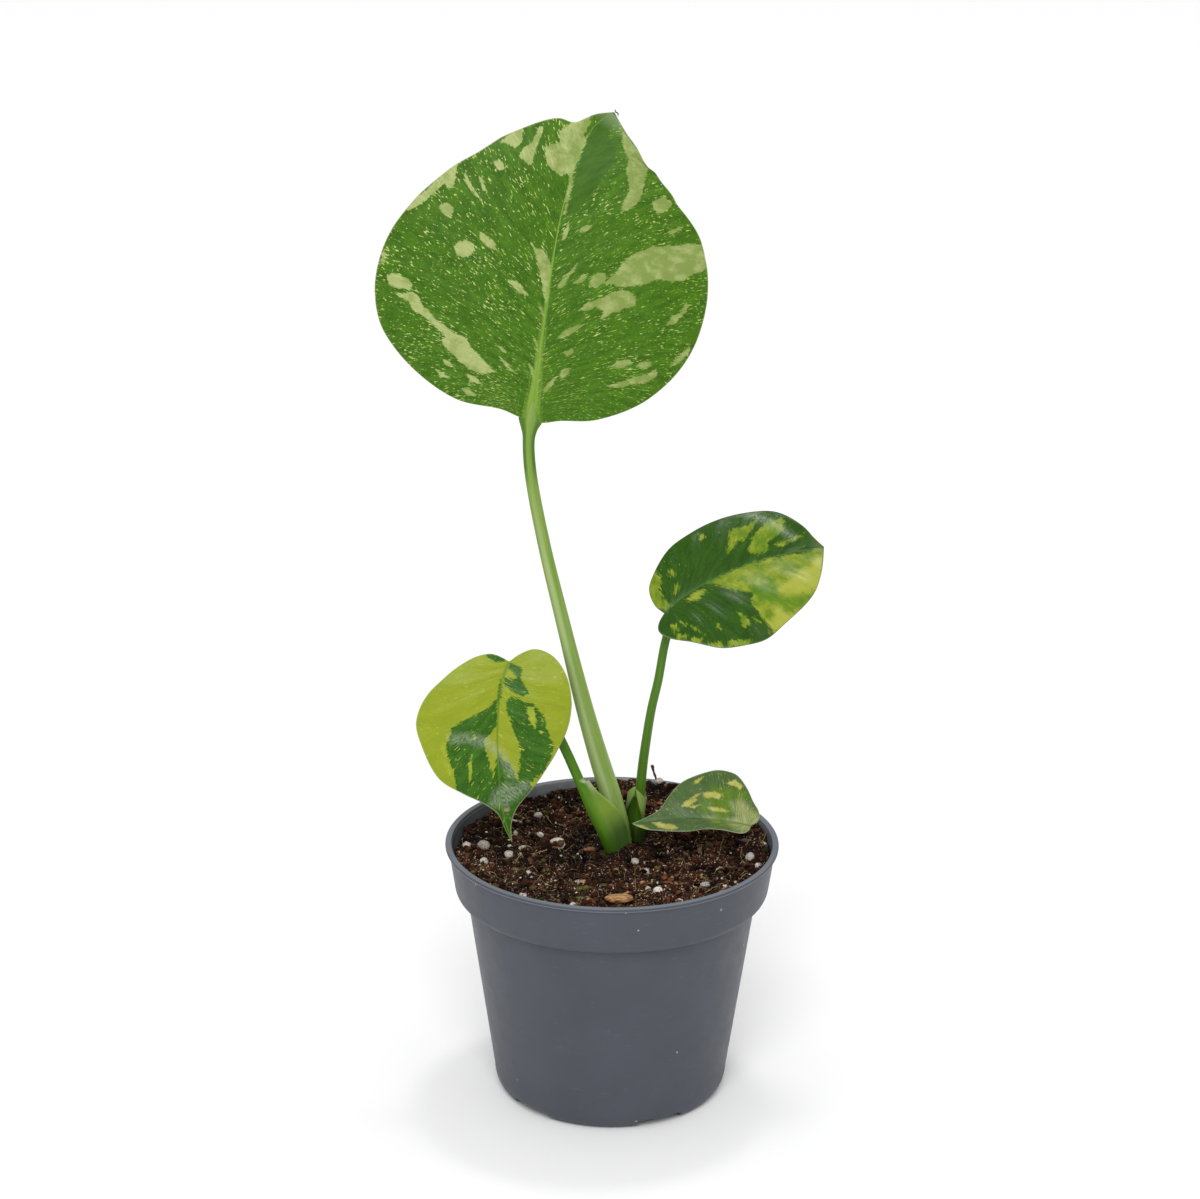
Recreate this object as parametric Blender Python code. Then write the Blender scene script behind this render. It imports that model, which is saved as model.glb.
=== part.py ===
"""A young variegated monstera in a nursery pot, in metres, +Z up.

The origin is the middle of the pot's base, and the plant is seen from the front along +Y. The pot is a
moulded shell filled with peat. A short crown stands in a plain hole in the peat and carries four leaf
stalks, each with its own blade. The bigger grains on the peat are part of it.
"""

import bmesh
import bpy
import numpy as np

GAP = 0.0003
PATH_POINTS = 300

POT_HEIGHT = 0.095
POT_WALL = 0.0011
BASE_THICKNESS = 0.0012
LIP_RADIUS = 0.060
COLLAR_TOP_RADIUS = 0.0588
COLLAR_BOTTOM_RADIUS = 0.0565
COLLAR_DEPTH = 0.0172
COLLAR_UNDERCUT = 0.0018
LIP_DEPTH = 0.0012
LIP_ROUNDING = 0.0004
BODY_TOP_RADIUS = 0.0524
BODY_FOOT_RADIUS = 0.0414
CORNER_HEIGHT = 0.0074
CORNER_WIDTH = 0.0044
NOTCH_COUNT = 5
NOTCH_AZIMUTH = -63.5
NOTCH_HEIGHT = 0.003
NOTCH_START_RADIUS = 0.021
NOTCH_EDGE_ANGLES = (0.0, 5.5, 11.0, 13.5, 21.0, 29.0)
DRAIN_RADIUS = 0.003
DRAIN_CIRCLE = 0.0305
DRAIN_SIDES = 10

SOIL_MIDDLE_HEIGHT = 0.087
SOIL_EDGE_HEIGHT = 0.0899
SOIL_MOUND_HEIGHT = 0.0052
SOIL_MOUND_AZIMUTH = 62.0
SOIL_MOUND_HALF_WIDTH = 38.0
SOIL_BUMP = 0.0006
SOIL_RADII = (0.022, 0.030, 0.038, 0.045, 0.052, 0.0565)
GRAIN_SEED = 11
GRAIN_SPREAD = 0.050
GRAIN_SPACING = 0.0045
BARK_FLATNESS = 0.35
SMALL_GRAIN_COUNT = 10

CROWN_CENTRE = (0.0052, 0.0100)
CROWN_HALF_LENGTH = 0.0135
CROWN_HALF_WIDTH = 0.0076
CROWN_AZIMUTH = 62.0
CROWN_BOTTOM = 0.057
CROWN_TOP = 0.0877
CROWN_TAPER = 0.0035
CROWN_ROUNDING = 0.0006
CROWN_SIDES = 24
CROWN_CLEAR_RADIUS = 0.019

BLADE_HALF_THICKNESS = 0.0004
ROOT_CROWDING = 2.2
MIDRIB_CROWDING = 1.4
FOOT_CROWDING = 1.25
SEAT_ALONG = 0.0028
SEAT_LEAD = 0.0035
STALK_FOOT = CROWN_TOP + GAP

GRAINS = (
    (-0.0196, 0.0136, 0.0031),
    (-0.0525, 0.0074, 0.0020),
    (-0.0463, 0.0050, 0.0023),
    (-0.0459, -0.0075, 0.0016),
    (-0.0273, 0.0348, 0.0016),
    (-0.0263, 0.0189, 0.0015),
    (-0.0325, 0.0043, 0.0014),
    (0.0083, -0.0060, 0.0018),
    (-0.0136, -0.0422, 0.0014),
    (0.0127, -0.0274, 0.0016),
    (0.0238, -0.0391, 0.0015),
    (0.0384, -0.0088, 0.0018),
    (0.0330, -0.0228, 0.0016),
    (0.0480, 0.0101, 0.0023),
    (-0.0312, -0.0374, 0.0015),
)
BARK_CHIP = (0.0024, -0.0419, 0.0050)

# A leaf's outlines are shares of its midrib's length, along it and out from it. Its "steady" share is how
# far the lines across it keep to one way where the midrib bends. Its curl is in degrees a metre.
LEAVES = {
    "tall_leaf": {
        "midrib": ((-0.0295, 0.018, 0.247), (-0.025, 0.023, 0.2815), (-0.020, 0.031, 0.3135),
                   (-0.0145, 0.038, 0.333), (-0.009, 0.045, 0.344), (-0.001, 0.052, 0.349)),
        "across": (0.985, 0.05, -0.17),
        "face": (0.0, -0.94, 0.33),
        "steady": 0.0,
        "fold": 8.0,
        "curl": 467.0,
        "rib": (0.0007, 0.0011, 0.0024),
        "rows": (28, 6),
        "left": ((0, 0), (0.004, 0.035), (0.022, 0.095), (0.034, 0.223), (0.081, 0.329), (0.156, 0.431),
                 (0.234, 0.495), (0.351, 0.524), (0.496, 0.496), (0.664, 0.363), (0.730, 0.284), (0.808, 0.202),
                 (0.876, 0.103), (0.890, 0.052), (0.957, 0.022), (1, 0)),
        "right": ((0, 0), (-0.006, 0.032), (0.007, 0.088), (0.023, 0.196), (0.100, 0.344), (0.238, 0.453),
                  (0.433, 0.491), (0.656, 0.433), (0.784, 0.318), (0.834, 0.254), (0.905, 0.212), (0.950, 0.155),
                  (0.970, 0.085), (1, 0)),
    },
    "right_leaf": {
        "midrib": ((0.018, 0.008, 0.179), (0.025, 0.012, 0.1838), (0.034, 0.0163, 0.1882),
                   (0.045, 0.0204, 0.1919), (0.059, 0.0242, 0.1953), (0.075, 0.026, 0.198)),
        "across": (-0.106, -0.793, -0.6),
        "face": (-0.19, -0.58, 0.80),
        "steady": 0.7,
        "fold": 12.0,
        "curl": 867.0,
        "rib": (0.0002, 0.0008, 0.0014),
        "rows": (22, 5),
        "left": ((0, 0), (-0.023, 0.070), (0.001, 0.170), (0.090, 0.239), (0.219, 0.306), (0.353, 0.330),
                 (0.496, 0.345), (0.634, 0.339), (0.807, 0.300), (0.872, 0.251), (0.941, 0.147),
                 (0.968, 0.069), (1, 0)),
        "right": ((0, 0), (-0.046, 0.017), (-0.086, 0.056), (-0.090, 0.097), (-0.063, 0.162), (0.014, 0.259),
                  (0.150, 0.409), (0.308, 0.476), (0.439, 0.493), (0.594, 0.441), (0.757, 0.365),
                  (0.842, 0.296), (0.926, 0.171), (1, 0)),
    },
    "left_leaf": {
        "midrib": ((-0.037, 0.006, 0.161), (-0.040, 0.0015, 0.152), (-0.041, -0.003, 0.138),
                   (-0.0405, -0.007, 0.124), (-0.039, -0.010, 0.1105), (-0.0355, -0.012, 0.0985)),
        "across": (1.0, 0.05, 0.05),
        "face": (-0.05, -0.9, 0.4),
        "steady": 0.0,
        "fold": 10.0,
        "curl": 800.0,
        "rib": (0.0002, 0.0008, 0.0014),
        "rows": (22, 5),
        "left": ((0, 0), (-0.006, 0.040), (-0.005, 0.101), (0.031, 0.167), (0.089, 0.234), (0.155, 0.309),
                 (0.215, 0.378), (0.280, 0.421), (0.360, 0.439), (0.458, 0.406), (0.620, 0.317),
                 (0.700, 0.200), (0.760, 0.110), (0.840, 0.040), (0.923, 0.015), (1, 0)),
        "right": ((0, 0), (-0.066, 0.048), (-0.110, 0.107), (-0.113, 0.192), (-0.066, 0.283),
                  (0.045, 0.369), (0.265, 0.392), (0.384, 0.369), (0.523, 0.307), (0.642, 0.226),
                  (0.729, 0.154), (0.821, 0.071), (0.899, 0.026), (1, 0)),
    },
    "low_leaf": {
        "midrib": ((0.050, 0.004, 0.099), (0.0395, 0.004, 0.101), (0.0285, 0.004, 0.102),
                   (0.0175, 0.003, 0.1015), (0.012, 0.002, 0.101), (0.007, 0.001, 0.101)),
        "across": (0.0, -0.87, -0.5),
        "face": (0.0, -0.5, 0.87),
        "steady": 0.0,
        "fold": 20.0,
        "curl": 733.0,
        "rib": (0.0002, 0.0006, 0.0011),
        "rows": (18, 4),
        "left": ((0, 0), (-0.056, 0.060), (-0.053, 0.132), (0.009, 0.220), (0.074, 0.330), (0.165, 0.437),
                 (0.244, 0.460), (0.330, 0.455), (0.464, 0.386), (0.571, 0.309), (0.673, 0.190),
                 (0.757, 0.090), (0.880, 0.040), (1, 0)),
        "right": ((0, 0), (0.020, 0.080), (0.070, 0.132), (0.150, 0.140), (0.245, 0.132), (0.388, 0.149),
                  (0.530, 0.186), (0.743, 0.158), (0.871, 0.111), (0.952, 0.053), (1, 0)),
    },
}

# A stalk's stations run from its foot to the blade. Each gives how far along it stands, then the half
# thickness at its middle and at its wings, the two half widths, and how sharply the section bends.
STALKS = {
    "tall_petiole": {
        "route": ((0.0041, 0.008, STALK_FOOT), (0.0037, 0.008, 0.091), (0.0021, 0.0085, 0.099),
                  (-0.0005, 0.009, 0.1087), (-0.004, 0.010, 0.1196), (-0.010, 0.011, 0.1408),
                  (-0.0177, 0.013, 0.172), (-0.025, 0.0155, 0.2027), (-0.0295, 0.017, 0.227),
                  (-0.0303, 0.0175, 0.238)),
        "inward": (0.0, 1.0),
        "blade": "tall_leaf",
        "sides": 12,
        "stations": ((0.00, 0.0029, 0.0029, 0.0034, 0.0034, 1.0), (0.06, 0.0031, 0.0031, 0.0038, 0.0038, 1.0),
                     (0.20, 0.0031, 0.0031, 0.0036, 0.0036, 1.0), (0.38, 0.0027, 0.0027, 0.0030, 0.0030, 1.0),
                     (0.50, 0.0025, 0.0025, 0.0026, 0.0026, 1.0), (0.70, 0.0022, 0.0022, 0.0023, 0.0023, 1.0),
                     (1.00, 0.0019, 0.0019, 0.0021, 0.0021, 1.0)),
    },
    "left_petiole": {
        "route": ((0.0000, 0.0022, STALK_FOOT), (-0.0025, 0.003, 0.096), (-0.0060, 0.0045, 0.1043),
                  (-0.0104, 0.0065, 0.1144), (-0.0152, 0.008, 0.1246), (-0.0248, 0.0105, 0.1426),
                  (-0.0315, 0.0125, 0.1535)),
        "inward": (0.72, 0.69),
        "blade": "left_leaf",
        "sides": 20,
        "stations": ((0.00, 0.0022, 0.0005, 0.0070, 0.0045, 190.0),
                     (0.09, 0.0023, 0.0005, 0.0078, 0.0042, 190.0),
                     (0.15, 0.0023, 0.0005, 0.0054, 0.0034, 170.0),
                     (0.20, 0.0022, 0.0007, 0.0040, 0.0029, 120.0),
                     (0.27, 0.0021, 0.0012, 0.0028, 0.0025, 40.0),
                     (0.36, 0.0018, 0.0018, 0.0018, 0.0018, 1.0),
                     (1.00, 0.0016, 0.0016, 0.0016, 0.0016, 1.0)),
    },
    "right_petiole": {
        "route": ((0.0093, 0.0145, STALK_FOOT), (0.0095, 0.014, 0.097), (0.0102, 0.0125, 0.106),
                  (0.0112, 0.011, 0.1195), (0.0122, 0.0105, 0.1298), (0.0138, 0.0105, 0.1415),
                  (0.0162, 0.0105, 0.1532), (0.018, 0.0108, 0.1648)),
        "inward": (-0.25, -0.97),
        "blade": "right_leaf",
        "sides": 20,
        "stations": ((0.00, 0.0017, 0.00045, 0.0042, 0.0042, 290.0),
                     (0.10, 0.0019, 0.00045, 0.0047, 0.0047, 300.0),
                     (0.18, 0.0020, 0.00045, 0.0044, 0.0044, 290.0),
                     (0.24, 0.0020, 0.0006, 0.0034, 0.0034, 220.0),
                     (0.29, 0.0020, 0.0015, 0.0023, 0.0023, 40.0),
                     (0.36, 0.0018, 0.0018, 0.0018, 0.0018, 1.0),
                     (0.55, 0.0016, 0.0016, 0.0016, 0.0016, 1.0),
                     (1.00, 0.0015, 0.0015, 0.0015, 0.0015, 1.0)),
    },
    "low_petiole": {
        "route": ((0.0096, 0.0195, STALK_FOOT), (0.0100, 0.0198, 0.0895), (0.0147, 0.0202, 0.0923),
                  (0.0212, 0.0195, 0.0946), (0.0320, 0.0160, 0.0972), (0.0427, 0.0105, 0.0972)),
        "inward": (0.0, 1.0),
        "blade": "low_leaf",
        "sides": 10,
        "stations": ((0.00, 0.0015, 0.0015, 0.0015, 0.0015, 1.0),
                     (1.00, 0.0012, 0.0012, 0.0012, 0.0012, 1.0)),
    },
}


def unit(vectors):
    """Each vector divided by its length."""
    return vectors / np.linalg.norm(vectors, axis=-1, keepdims=True)


def smooth_path(points, count):
    """A curve through the points, as cubic pieces whose slope at a point is the mean of its neighbours'."""
    points = np.array(points, float)
    knots = np.r_[0.0, np.cumsum(np.sqrt(np.linalg.norm(np.diff(points, axis=0), axis=1)))]
    steps = np.diff(knots)[:, None]
    chords = np.diff(points, axis=0) / steps
    slopes = np.empty_like(points)
    slopes[1:-1] = (chords[:-1] * steps[1:] + chords[1:] * steps[:-1]) / (steps[1:] + steps[:-1])
    slopes[0] = (3 * chords[0] - slopes[1]) / 2
    slopes[-1] = (3 * chords[-1] - slopes[-2]) / 2
    where = np.linspace(0.0, knots[-1], count)
    piece = np.clip(np.searchsorted(knots, where, side="right") - 1, 0, len(points) - 2)
    step = steps[piece]
    t = (where - knots[piece])[:, None] / step
    return ((2 * t**3 - 3 * t**2 + 1) * points[piece] + (t**3 - 2 * t**2 + t) * step * slopes[piece]
            + (3 * t**2 - 2 * t**3) * points[piece + 1] + (t**3 - t**2) * step * slopes[piece + 1])


def length_along(path):
    """The distance travelled at each point of a path."""
    return np.r_[0.0, np.cumsum(np.linalg.norm(np.diff(path, axis=0), axis=1))]


def read_path(path, lengths, values):
    """A path's columns read at the wanted lengths."""
    return np.stack([np.interp(values, lengths, column) for column in path.T], axis=-1)


def add_object(name, vertices, faces, color, roughness, smooth=True):
    """A mesh object with its own material, its faces turned outwards."""
    mesh = bpy.data.meshes.new(name)
    mesh.from_pydata([tuple(map(float, point)) for point in vertices], [], faces)
    work = bmesh.new()
    work.from_mesh(mesh)
    bmesh.ops.recalc_face_normals(work, faces=work.faces)
    work.to_mesh(mesh)
    work.free()
    if smooth:
        mesh.shade_smooth()
        mesh.set_sharp_from_angle(angle=np.radians(40))
    material = bpy.data.materials.new(name)
    material.use_nodes = True
    shader = material.node_tree.nodes["Principled BSDF"]
    shader.inputs["Base Color"].default_value = (*color, 1.0)
    shader.inputs["Roughness"].default_value = roughness
    shader.inputs["Metallic"].default_value = 0.0
    mesh.materials.append(material)
    part = bpy.data.objects.new(name, mesh)
    bpy.context.scene.collection.objects.link(part)
    return part


def boolean(part, cutter, operation):
    """Cuts or joins one object with another, or with a collection, and applies the result."""
    modifier = part.modifiers.new(operation.title(), "BOOLEAN")
    modifier.operation = operation
    modifier.solver = "EXACT"
    if isinstance(cutter, bpy.types.Collection):
        modifier.operand_type = "COLLECTION"
        modifier.collection = cutter
    else:
        modifier.object = cutter
    graph = bpy.context.evaluated_depsgraph_get()
    result = bpy.data.meshes.new_from_object(part.evaluated_get(graph))
    part.modifiers.remove(modifier)
    part.data = result


def remove_objects(parts):
    """Takes helpers out of the scene once they have done their work."""
    for part in parts:
        bpy.data.objects.remove(part, do_unlink=True)


def ring_walls(rings):
    """The points of rings that follow each other, their numbers, and the triangles between the rings."""
    count, around = rings.shape[:2]
    number = np.arange(count * around).reshape(count, around)
    after = np.roll(number, -1, axis=1)
    walls = np.vstack([np.stack([number[:-1], after[:-1], after[1:]], axis=-1).reshape(-1, 3),
                       np.stack([number[:-1], after[1:], number[1:]], axis=-1).reshape(-1, 3)])
    return rings.reshape(-1, 3), number, walls


def turned_solid(rings, first, last):
    """A closed body of triangles from rings of points, each end ring closed round a point inside it."""
    points, number, walls = ring_walls(rings)
    vertices = np.vstack([points, [first], [last]])
    after = np.roll(number, -1, axis=1)
    near_end = np.stack([after[0], number[0], np.full(len(after[0]), len(points))], axis=-1)
    far_end = np.stack([number[-1], after[-1], np.full(len(after[0]), len(points) + 1)], axis=-1)
    return vertices, [tuple(face) for face in np.vstack([walls, near_end, far_end]).tolist()]


def swept_solid(rings):
    """A closed body from rings whose two halves mirror each other, each end closed from half to half."""
    points, number, walls = ring_walls(rings)
    half = rings.shape[1] // 2
    ends = []
    for ring in (number[0], number[-1]):
        near = ring[:half + 1]
        far = ring[-np.arange(half + 1)]
        ends.append(np.stack([near[:-2], near[1:-1], far[1:-1]], axis=-1))
        ends.append(np.stack([near[1:-1], far[2:], far[1:-1]], axis=-1))
    return points, [tuple(face) for face in np.vstack([walls, *ends]).tolist()]


def pot_angles():
    """The angles round the pot, closer together where a notch of the foot begins and ends."""
    half = np.array(NOTCH_EDGE_ANGLES)
    period = 360.0 / NOTCH_COUNT
    one = np.r_[-half[:0:-1], half, period / 2]
    return np.concatenate([NOTCH_AZIMUTH + period * k + one for k in range(NOTCH_COUNT)])


def notch_height(angles, radius):
    """How high the foot is lifted at an angle and radius: full in a notch, nothing between them."""
    period = 360.0 / NOTCH_COUNT
    off = np.abs((angles - NOTCH_AZIMUTH + period / 2) % period - period / 2)
    inside = np.clip((NOTCH_EDGE_ANGLES[3] - off) / (NOTCH_EDGE_ANGLES[3] - NOTCH_EDGE_ANGLES[2]), 0, 1)
    return NOTCH_HEIGHT * inside * (radius > NOTCH_START_RADIUS)


def pot_profile():
    """The pot's outline as radius and height: outside from the base to the lip, then inside back down."""
    step_top = POT_HEIGHT - COLLAR_DEPTH
    step_bottom = step_top - COLLAR_UNDERCUT
    corner_radius = BODY_FOOT_RADIUS + (BODY_TOP_RADIUS - BODY_FOOT_RADIUS) * CORNER_HEIGHT / step_bottom
    flat = corner_radius - CORNER_WIDTH
    turn = np.radians([0, 30, 55, 75, 90])
    corner = np.c_[flat + CORNER_WIDTH * np.sin(turn), CORNER_HEIGHT * (1 - np.cos(turn))]
    floor = np.array([(NOTCH_START_RADIUS, 0.0), (NOTCH_START_RADIUS + 0.002, 0.0), (0.030, 0.0)])
    wall = np.array([
        (BODY_TOP_RADIUS, step_bottom),
        (COLLAR_BOTTOM_RADIUS - LIP_DEPTH, step_bottom + LIP_ROUNDING),
        (COLLAR_BOTTOM_RADIUS, step_top),
        (COLLAR_TOP_RADIUS, POT_HEIGHT - LIP_DEPTH - LIP_ROUNDING),
        (LIP_RADIUS, POT_HEIGHT - LIP_DEPTH),
        (LIP_RADIUS, POT_HEIGHT - LIP_ROUNDING),
        (LIP_RADIUS - LIP_ROUNDING, POT_HEIGHT),
    ])
    inner_corner = np.c_[flat + (CORNER_WIDTH - POT_WALL) * np.sin(turn),
                         BASE_THICKNESS + (CORNER_HEIGHT - BASE_THICKNESS) * (1 - np.cos(turn))]
    inner_wall = np.array([
        (COLLAR_TOP_RADIUS - POT_WALL, POT_HEIGHT),
        (COLLAR_BOTTOM_RADIUS - POT_WALL, step_top + COLLAR_UNDERCUT / 2),
        (BODY_TOP_RADIUS - POT_WALL, step_bottom + LIP_ROUNDING),
    ])
    inner = np.vstack([inner_wall, inner_corner[::-1], floor[::-1] + (0.0, BASE_THICKNESS)])
    return np.vstack([floor, corner, wall]), inner


def lifted_rings(profile, angles, floor):
    """Profile points carried round the axis, none lower than the foot's notches plus the floor."""
    radius = profile[:, :1]
    height = np.maximum(profile[:, 1:], notch_height(angles[None, :], radius) + floor)
    turn = np.radians(angles)[None, :]
    return np.stack([radius * np.cos(turn), radius * np.sin(turn), height + 0 * turn], axis=-1)


def make_pot():
    """The moulded shell: body, collar, lip and a notched foot with a drain hole in each notch."""
    angles = pot_angles()
    outer, inner = pot_profile()
    rings = np.vstack([lifted_rings(outer, angles, 0.0), lifted_rings(inner, angles, BASE_THICKNESS)])
    vertices, faces = turned_solid(rings, (0, 0, 0), (0, 0, BASE_THICKNESS))
    pot = add_object("pot", vertices, faces, (0.091, 0.107, 0.127), 0.55)
    drills = []
    for k in range(NOTCH_COUNT):
        turn = np.radians(NOTCH_AZIMUTH + 360.0 / NOTCH_COUNT * k)
        round_hole = np.radians(np.arange(0, 360, 360.0 / DRAIN_SIDES))[None, :]
        levels = np.array([-DRAIN_RADIUS, 3 * DRAIN_RADIUS])[:, None]
        x = DRAIN_CIRCLE * np.cos(turn) + DRAIN_RADIUS * np.cos(round_hole) + 0 * levels
        y = DRAIN_CIRCLE * np.sin(turn) + DRAIN_RADIUS * np.sin(round_hole) + 0 * levels
        drill_rings = np.stack([x, y, levels + 0 * x], axis=-1)
        ends = [(*drill_rings[row, :, :2].mean(axis=0), levels[row, 0]) for row in (0, 1)]
        drill_vertices, drill_faces = turned_solid(drill_rings, *ends)
        drills.append(add_object(f"drill_{k}", drill_vertices, drill_faces, (0.5, 0.5, 0.5), 0.5))
    for drill in drills:
        boolean(pot, drill, "DIFFERENCE")
    remove_objects(drills)
    return pot


def soil_height(x, y):
    """The peat's surface: a shallow bowl, heaped at the back right wall, with small even bumps."""
    radius = np.hypot(x, y) / COLLAR_TOP_RADIUS
    off = (np.degrees(np.arctan2(y, x)) - SOIL_MOUND_AZIMUTH + 180.0) % 360.0 - 180.0
    edge = SOIL_EDGE_HEIGHT + SOIL_MOUND_HEIGHT / (1.0 + (off / SOIL_MOUND_HALF_WIDTH) ** 4)
    bowl = SOIL_MIDDLE_HEIGHT + (edge - SOIL_MIDDLE_HEIGHT) * radius**2.5
    bumps = (np.sin(430 * x + 1.3) * np.sin(390 * y + 0.4)
             + 0.8 * np.sin(690 * x - 510 * y + 2.1)
             + 0.6 * np.sin(250 * x + 820 * y))
    near_crown = np.hypot(x - CROWN_CENTRE[0], y - CROWN_CENTRE[1]) / 0.016
    return bowl + SOIL_BUMP * bumps * np.clip(near_crown - 0.9, 0, 1)


def crown_rings(heights, margin, around):
    """Rings of the crown's oval outline, each height with its own margin."""
    turn = np.radians(np.arange(0, 360, 360.0 / around))[None, :]
    margin = np.asarray(margin)[:, None]
    along = (CROWN_HALF_LENGTH + margin) * np.cos(turn)
    aside = (CROWN_HALF_WIDTH + margin) * np.sin(turn)
    lean = np.radians(CROWN_AZIMUTH)
    x = CROWN_CENTRE[0] + along * np.cos(lean) - aside * np.sin(lean)
    y = CROWN_CENTRE[1] + along * np.sin(lean) + aside * np.cos(lean)
    return np.stack([x, y, np.asarray(heights)[:, None] + 0 * x], axis=-1)


def make_grain(name, soil, x, y, radius, flat, draw):
    """A rough grain of perlite or bark, half sunk in the peat below it."""
    work = bmesh.new()
    bmesh.ops.create_icosphere(work, subdivisions=1, radius=1.0)
    stretch = np.array([1.0, draw.uniform(0.75, 1.0), draw.uniform(0.7, 0.9) * flat])
    turn = draw.uniform(0, np.pi)
    spin = np.array([[np.cos(turn), -np.sin(turn), 0], [np.sin(turn), np.cos(turn), 0], [0, 0, 1]])
    surface = soil.ray_cast((x, y, POT_HEIGHT), (0, 0, -1))[1]
    centre = np.array([x, y, surface[2] + 0.1 * radius * flat])
    corners = np.array([vertex.co[:] for vertex in work.verts])
    corners = corners * stretch * draw.uniform(0.88, 1.12, (len(corners), 1))
    corners = centre + radius * corners @ spin.T
    faces = [tuple(vertex.index for vertex in face.verts) for face in work.faces]
    work.free()
    return add_object(name, corners, faces, (0.5, 0.5, 0.45), 0.9, smooth=False)


def make_soil():
    """The peat, fitting the pot from its floor up, with its grains and the crown's plain hole."""
    angles = pot_angles()
    turn = np.radians(angles)
    inner = pot_profile()[1]
    under = inner[inner[:, 1] < POT_HEIGHT - 0.01]
    under[:, 0] -= GAP
    under_rings = lifted_rings(under, angles, BASE_THICKNESS)
    under_rings[:, :, 2] += GAP
    top_radii = np.array([SOIL_RADII])[..., None]
    x = top_radii * np.cos(turn)
    y = top_radii * np.sin(turn)
    top_rings = np.stack([x, y, soil_height(x, y)], axis=-1)[0]
    rim_height = top_rings[-1, :, 2]
    rim = np.interp(rim_height, inner[1::-1, 1], inner[1::-1, 0]) - GAP
    top_rings[-1] = np.stack([rim * np.cos(turn), rim * np.sin(turn), rim_height], axis=-1)
    rings = np.vstack([top_rings, under_rings])
    vertices, faces = turned_solid(
        rings, (0, 0, soil_height(0.0, 0.0)), (0, 0, BASE_THICKNESS + GAP))
    soil = add_object("soil", vertices, faces, (0.045, 0.022, 0.014), 0.95)

    well_heights = (CROWN_BOTTOM - GAP, POT_HEIGHT + 0.01)
    well_rings = crown_rings(well_heights, (GAP, GAP), CROWN_SIDES)
    ends = [(*CROWN_CENTRE, height) for height in well_heights]
    well_vertices, well_faces = turned_solid(well_rings, *ends)
    well = add_object("well", well_vertices, well_faces, (0.5, 0.5, 0.5), 0.5, smooth=False)
    boolean(soil, well, "DIFFERENCE")
    remove_objects([well])

    draw = np.random.default_rng(GRAIN_SEED)
    grains = [(x, y, radius, 1.0) for x, y, radius in GRAINS]
    grains.append((*BARK_CHIP, BARK_FLATNESS))
    while len(grains) < len(GRAINS) + 1 + SMALL_GRAIN_COUNT:
        x, y = draw.uniform(-GRAIN_SPREAD, GRAIN_SPREAD, 2)
        clear = all(np.hypot(x - gx, y - gy) > radius + GRAIN_SPACING for gx, gy, radius, _ in grains)
        off_crown = np.hypot(x - CROWN_CENTRE[0], y - CROWN_CENTRE[1]) > CROWN_CLEAR_RADIUS
        if np.hypot(x, y) < GRAIN_SPREAD and off_crown and clear:
            grains.append((x, y, draw.uniform(0.0012, 0.0018), 1.0))
    pile = bpy.data.collections.new("grains")
    bpy.context.scene.collection.children.link(pile)
    for k, (x, y, radius, flat) in enumerate(grains):
        grain = make_grain(f"grain_{k}", soil, x, y, radius, flat, draw)
        pile.objects.link(grain)
        bpy.context.scene.collection.objects.unlink(grain)
    boolean(soil, pile, "UNION")
    remove_objects(list(pile.objects))
    bpy.data.collections.remove(pile)
    return soil


def make_crown():
    """The short buried stem, an oval plug with rounded ends that the stalks stand on."""
    heights = (CROWN_BOTTOM, CROWN_BOTTOM + CROWN_TAPER, CROWN_TOP - CROWN_ROUNDING, CROWN_TOP)
    rings = crown_rings(heights, (-CROWN_TAPER, 0.0, 0.0, -CROWN_ROUNDING), CROWN_SIDES)
    vertices, faces = turned_solid(rings, (*CROWN_CENTRE, CROWN_BOTTOM), (*CROWN_CENTRE, CROWN_TOP))
    return add_object("crown", vertices, faces, (0.12, 0.16, 0.04), 0.7)


def blade_frame(leaf):
    """The midrib as a dense path, with its lengths, its directions, and the ways across and out."""
    path = smooth_path(leaf["midrib"], PATH_POINTS)
    lengths = length_along(path)
    ahead = unit(np.gradient(path, lengths, axis=0))
    return path, lengths, ahead


def blade_surface(leaf, along, across):
    """Where a point of the flat blade goes, with the way that its upper side faces.

    A point stands so far along the midrib and so far across it. The half blades rise from the midrib at
    the fold's angle and bend down evenly from there, so a line across the blade is an arc of a circle.
    """
    path, lengths, ahead = blade_frame(leaf)
    along, across = np.broadcast_arrays(np.asarray(along, float), np.asarray(across, float))
    direction = unit(read_path(ahead, lengths, along))
    beyond = along - np.clip(along, 0.0, lengths[-1])
    centre = read_path(path, lengths, along) + beyond[..., None] * direction
    chord = unit(path[-1] - path[0])
    square_to = unit((1.0 - leaf["steady"]) * direction + leaf["steady"] * chord)
    sideways = np.array(leaf["across"])
    sideways = unit(sideways - (square_to @ sideways)[..., None] * square_to)
    upward = unit(np.cross(direction, sideways))
    upward *= np.sign(upward @ np.array(leaf["face"]))[..., None]
    fold = np.radians(leaf["fold"])
    curl = np.radians(leaf["curl"])
    slope = fold - curl * np.abs(across)
    side = np.sign(across) * (np.sin(fold) - np.sin(slope)) / curl
    lift = (np.cos(slope) - np.cos(fold)) / curl
    point = centre + side[..., None] * sideways + lift[..., None] * upward
    normal = (np.cos(slope)[..., None] * upward
              - (np.sin(slope) * np.sign(across))[..., None] * sideways)
    return point, unit(normal)


def blade_thickness(leaf, along, across):
    """How far the upper and the lower side stand off the middle of the blade: thin, with a round rib."""
    above, below, width = leaf["rib"]
    length = blade_frame(leaf)[1][-1]
    rib = np.exp(-(across / width) ** 2) * np.clip(1.0 - along / length, 0.0, 1.0)
    return BLADE_HALF_THICKNESS + above * rib, BLADE_HALF_THICKNESS + below * rib


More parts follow.
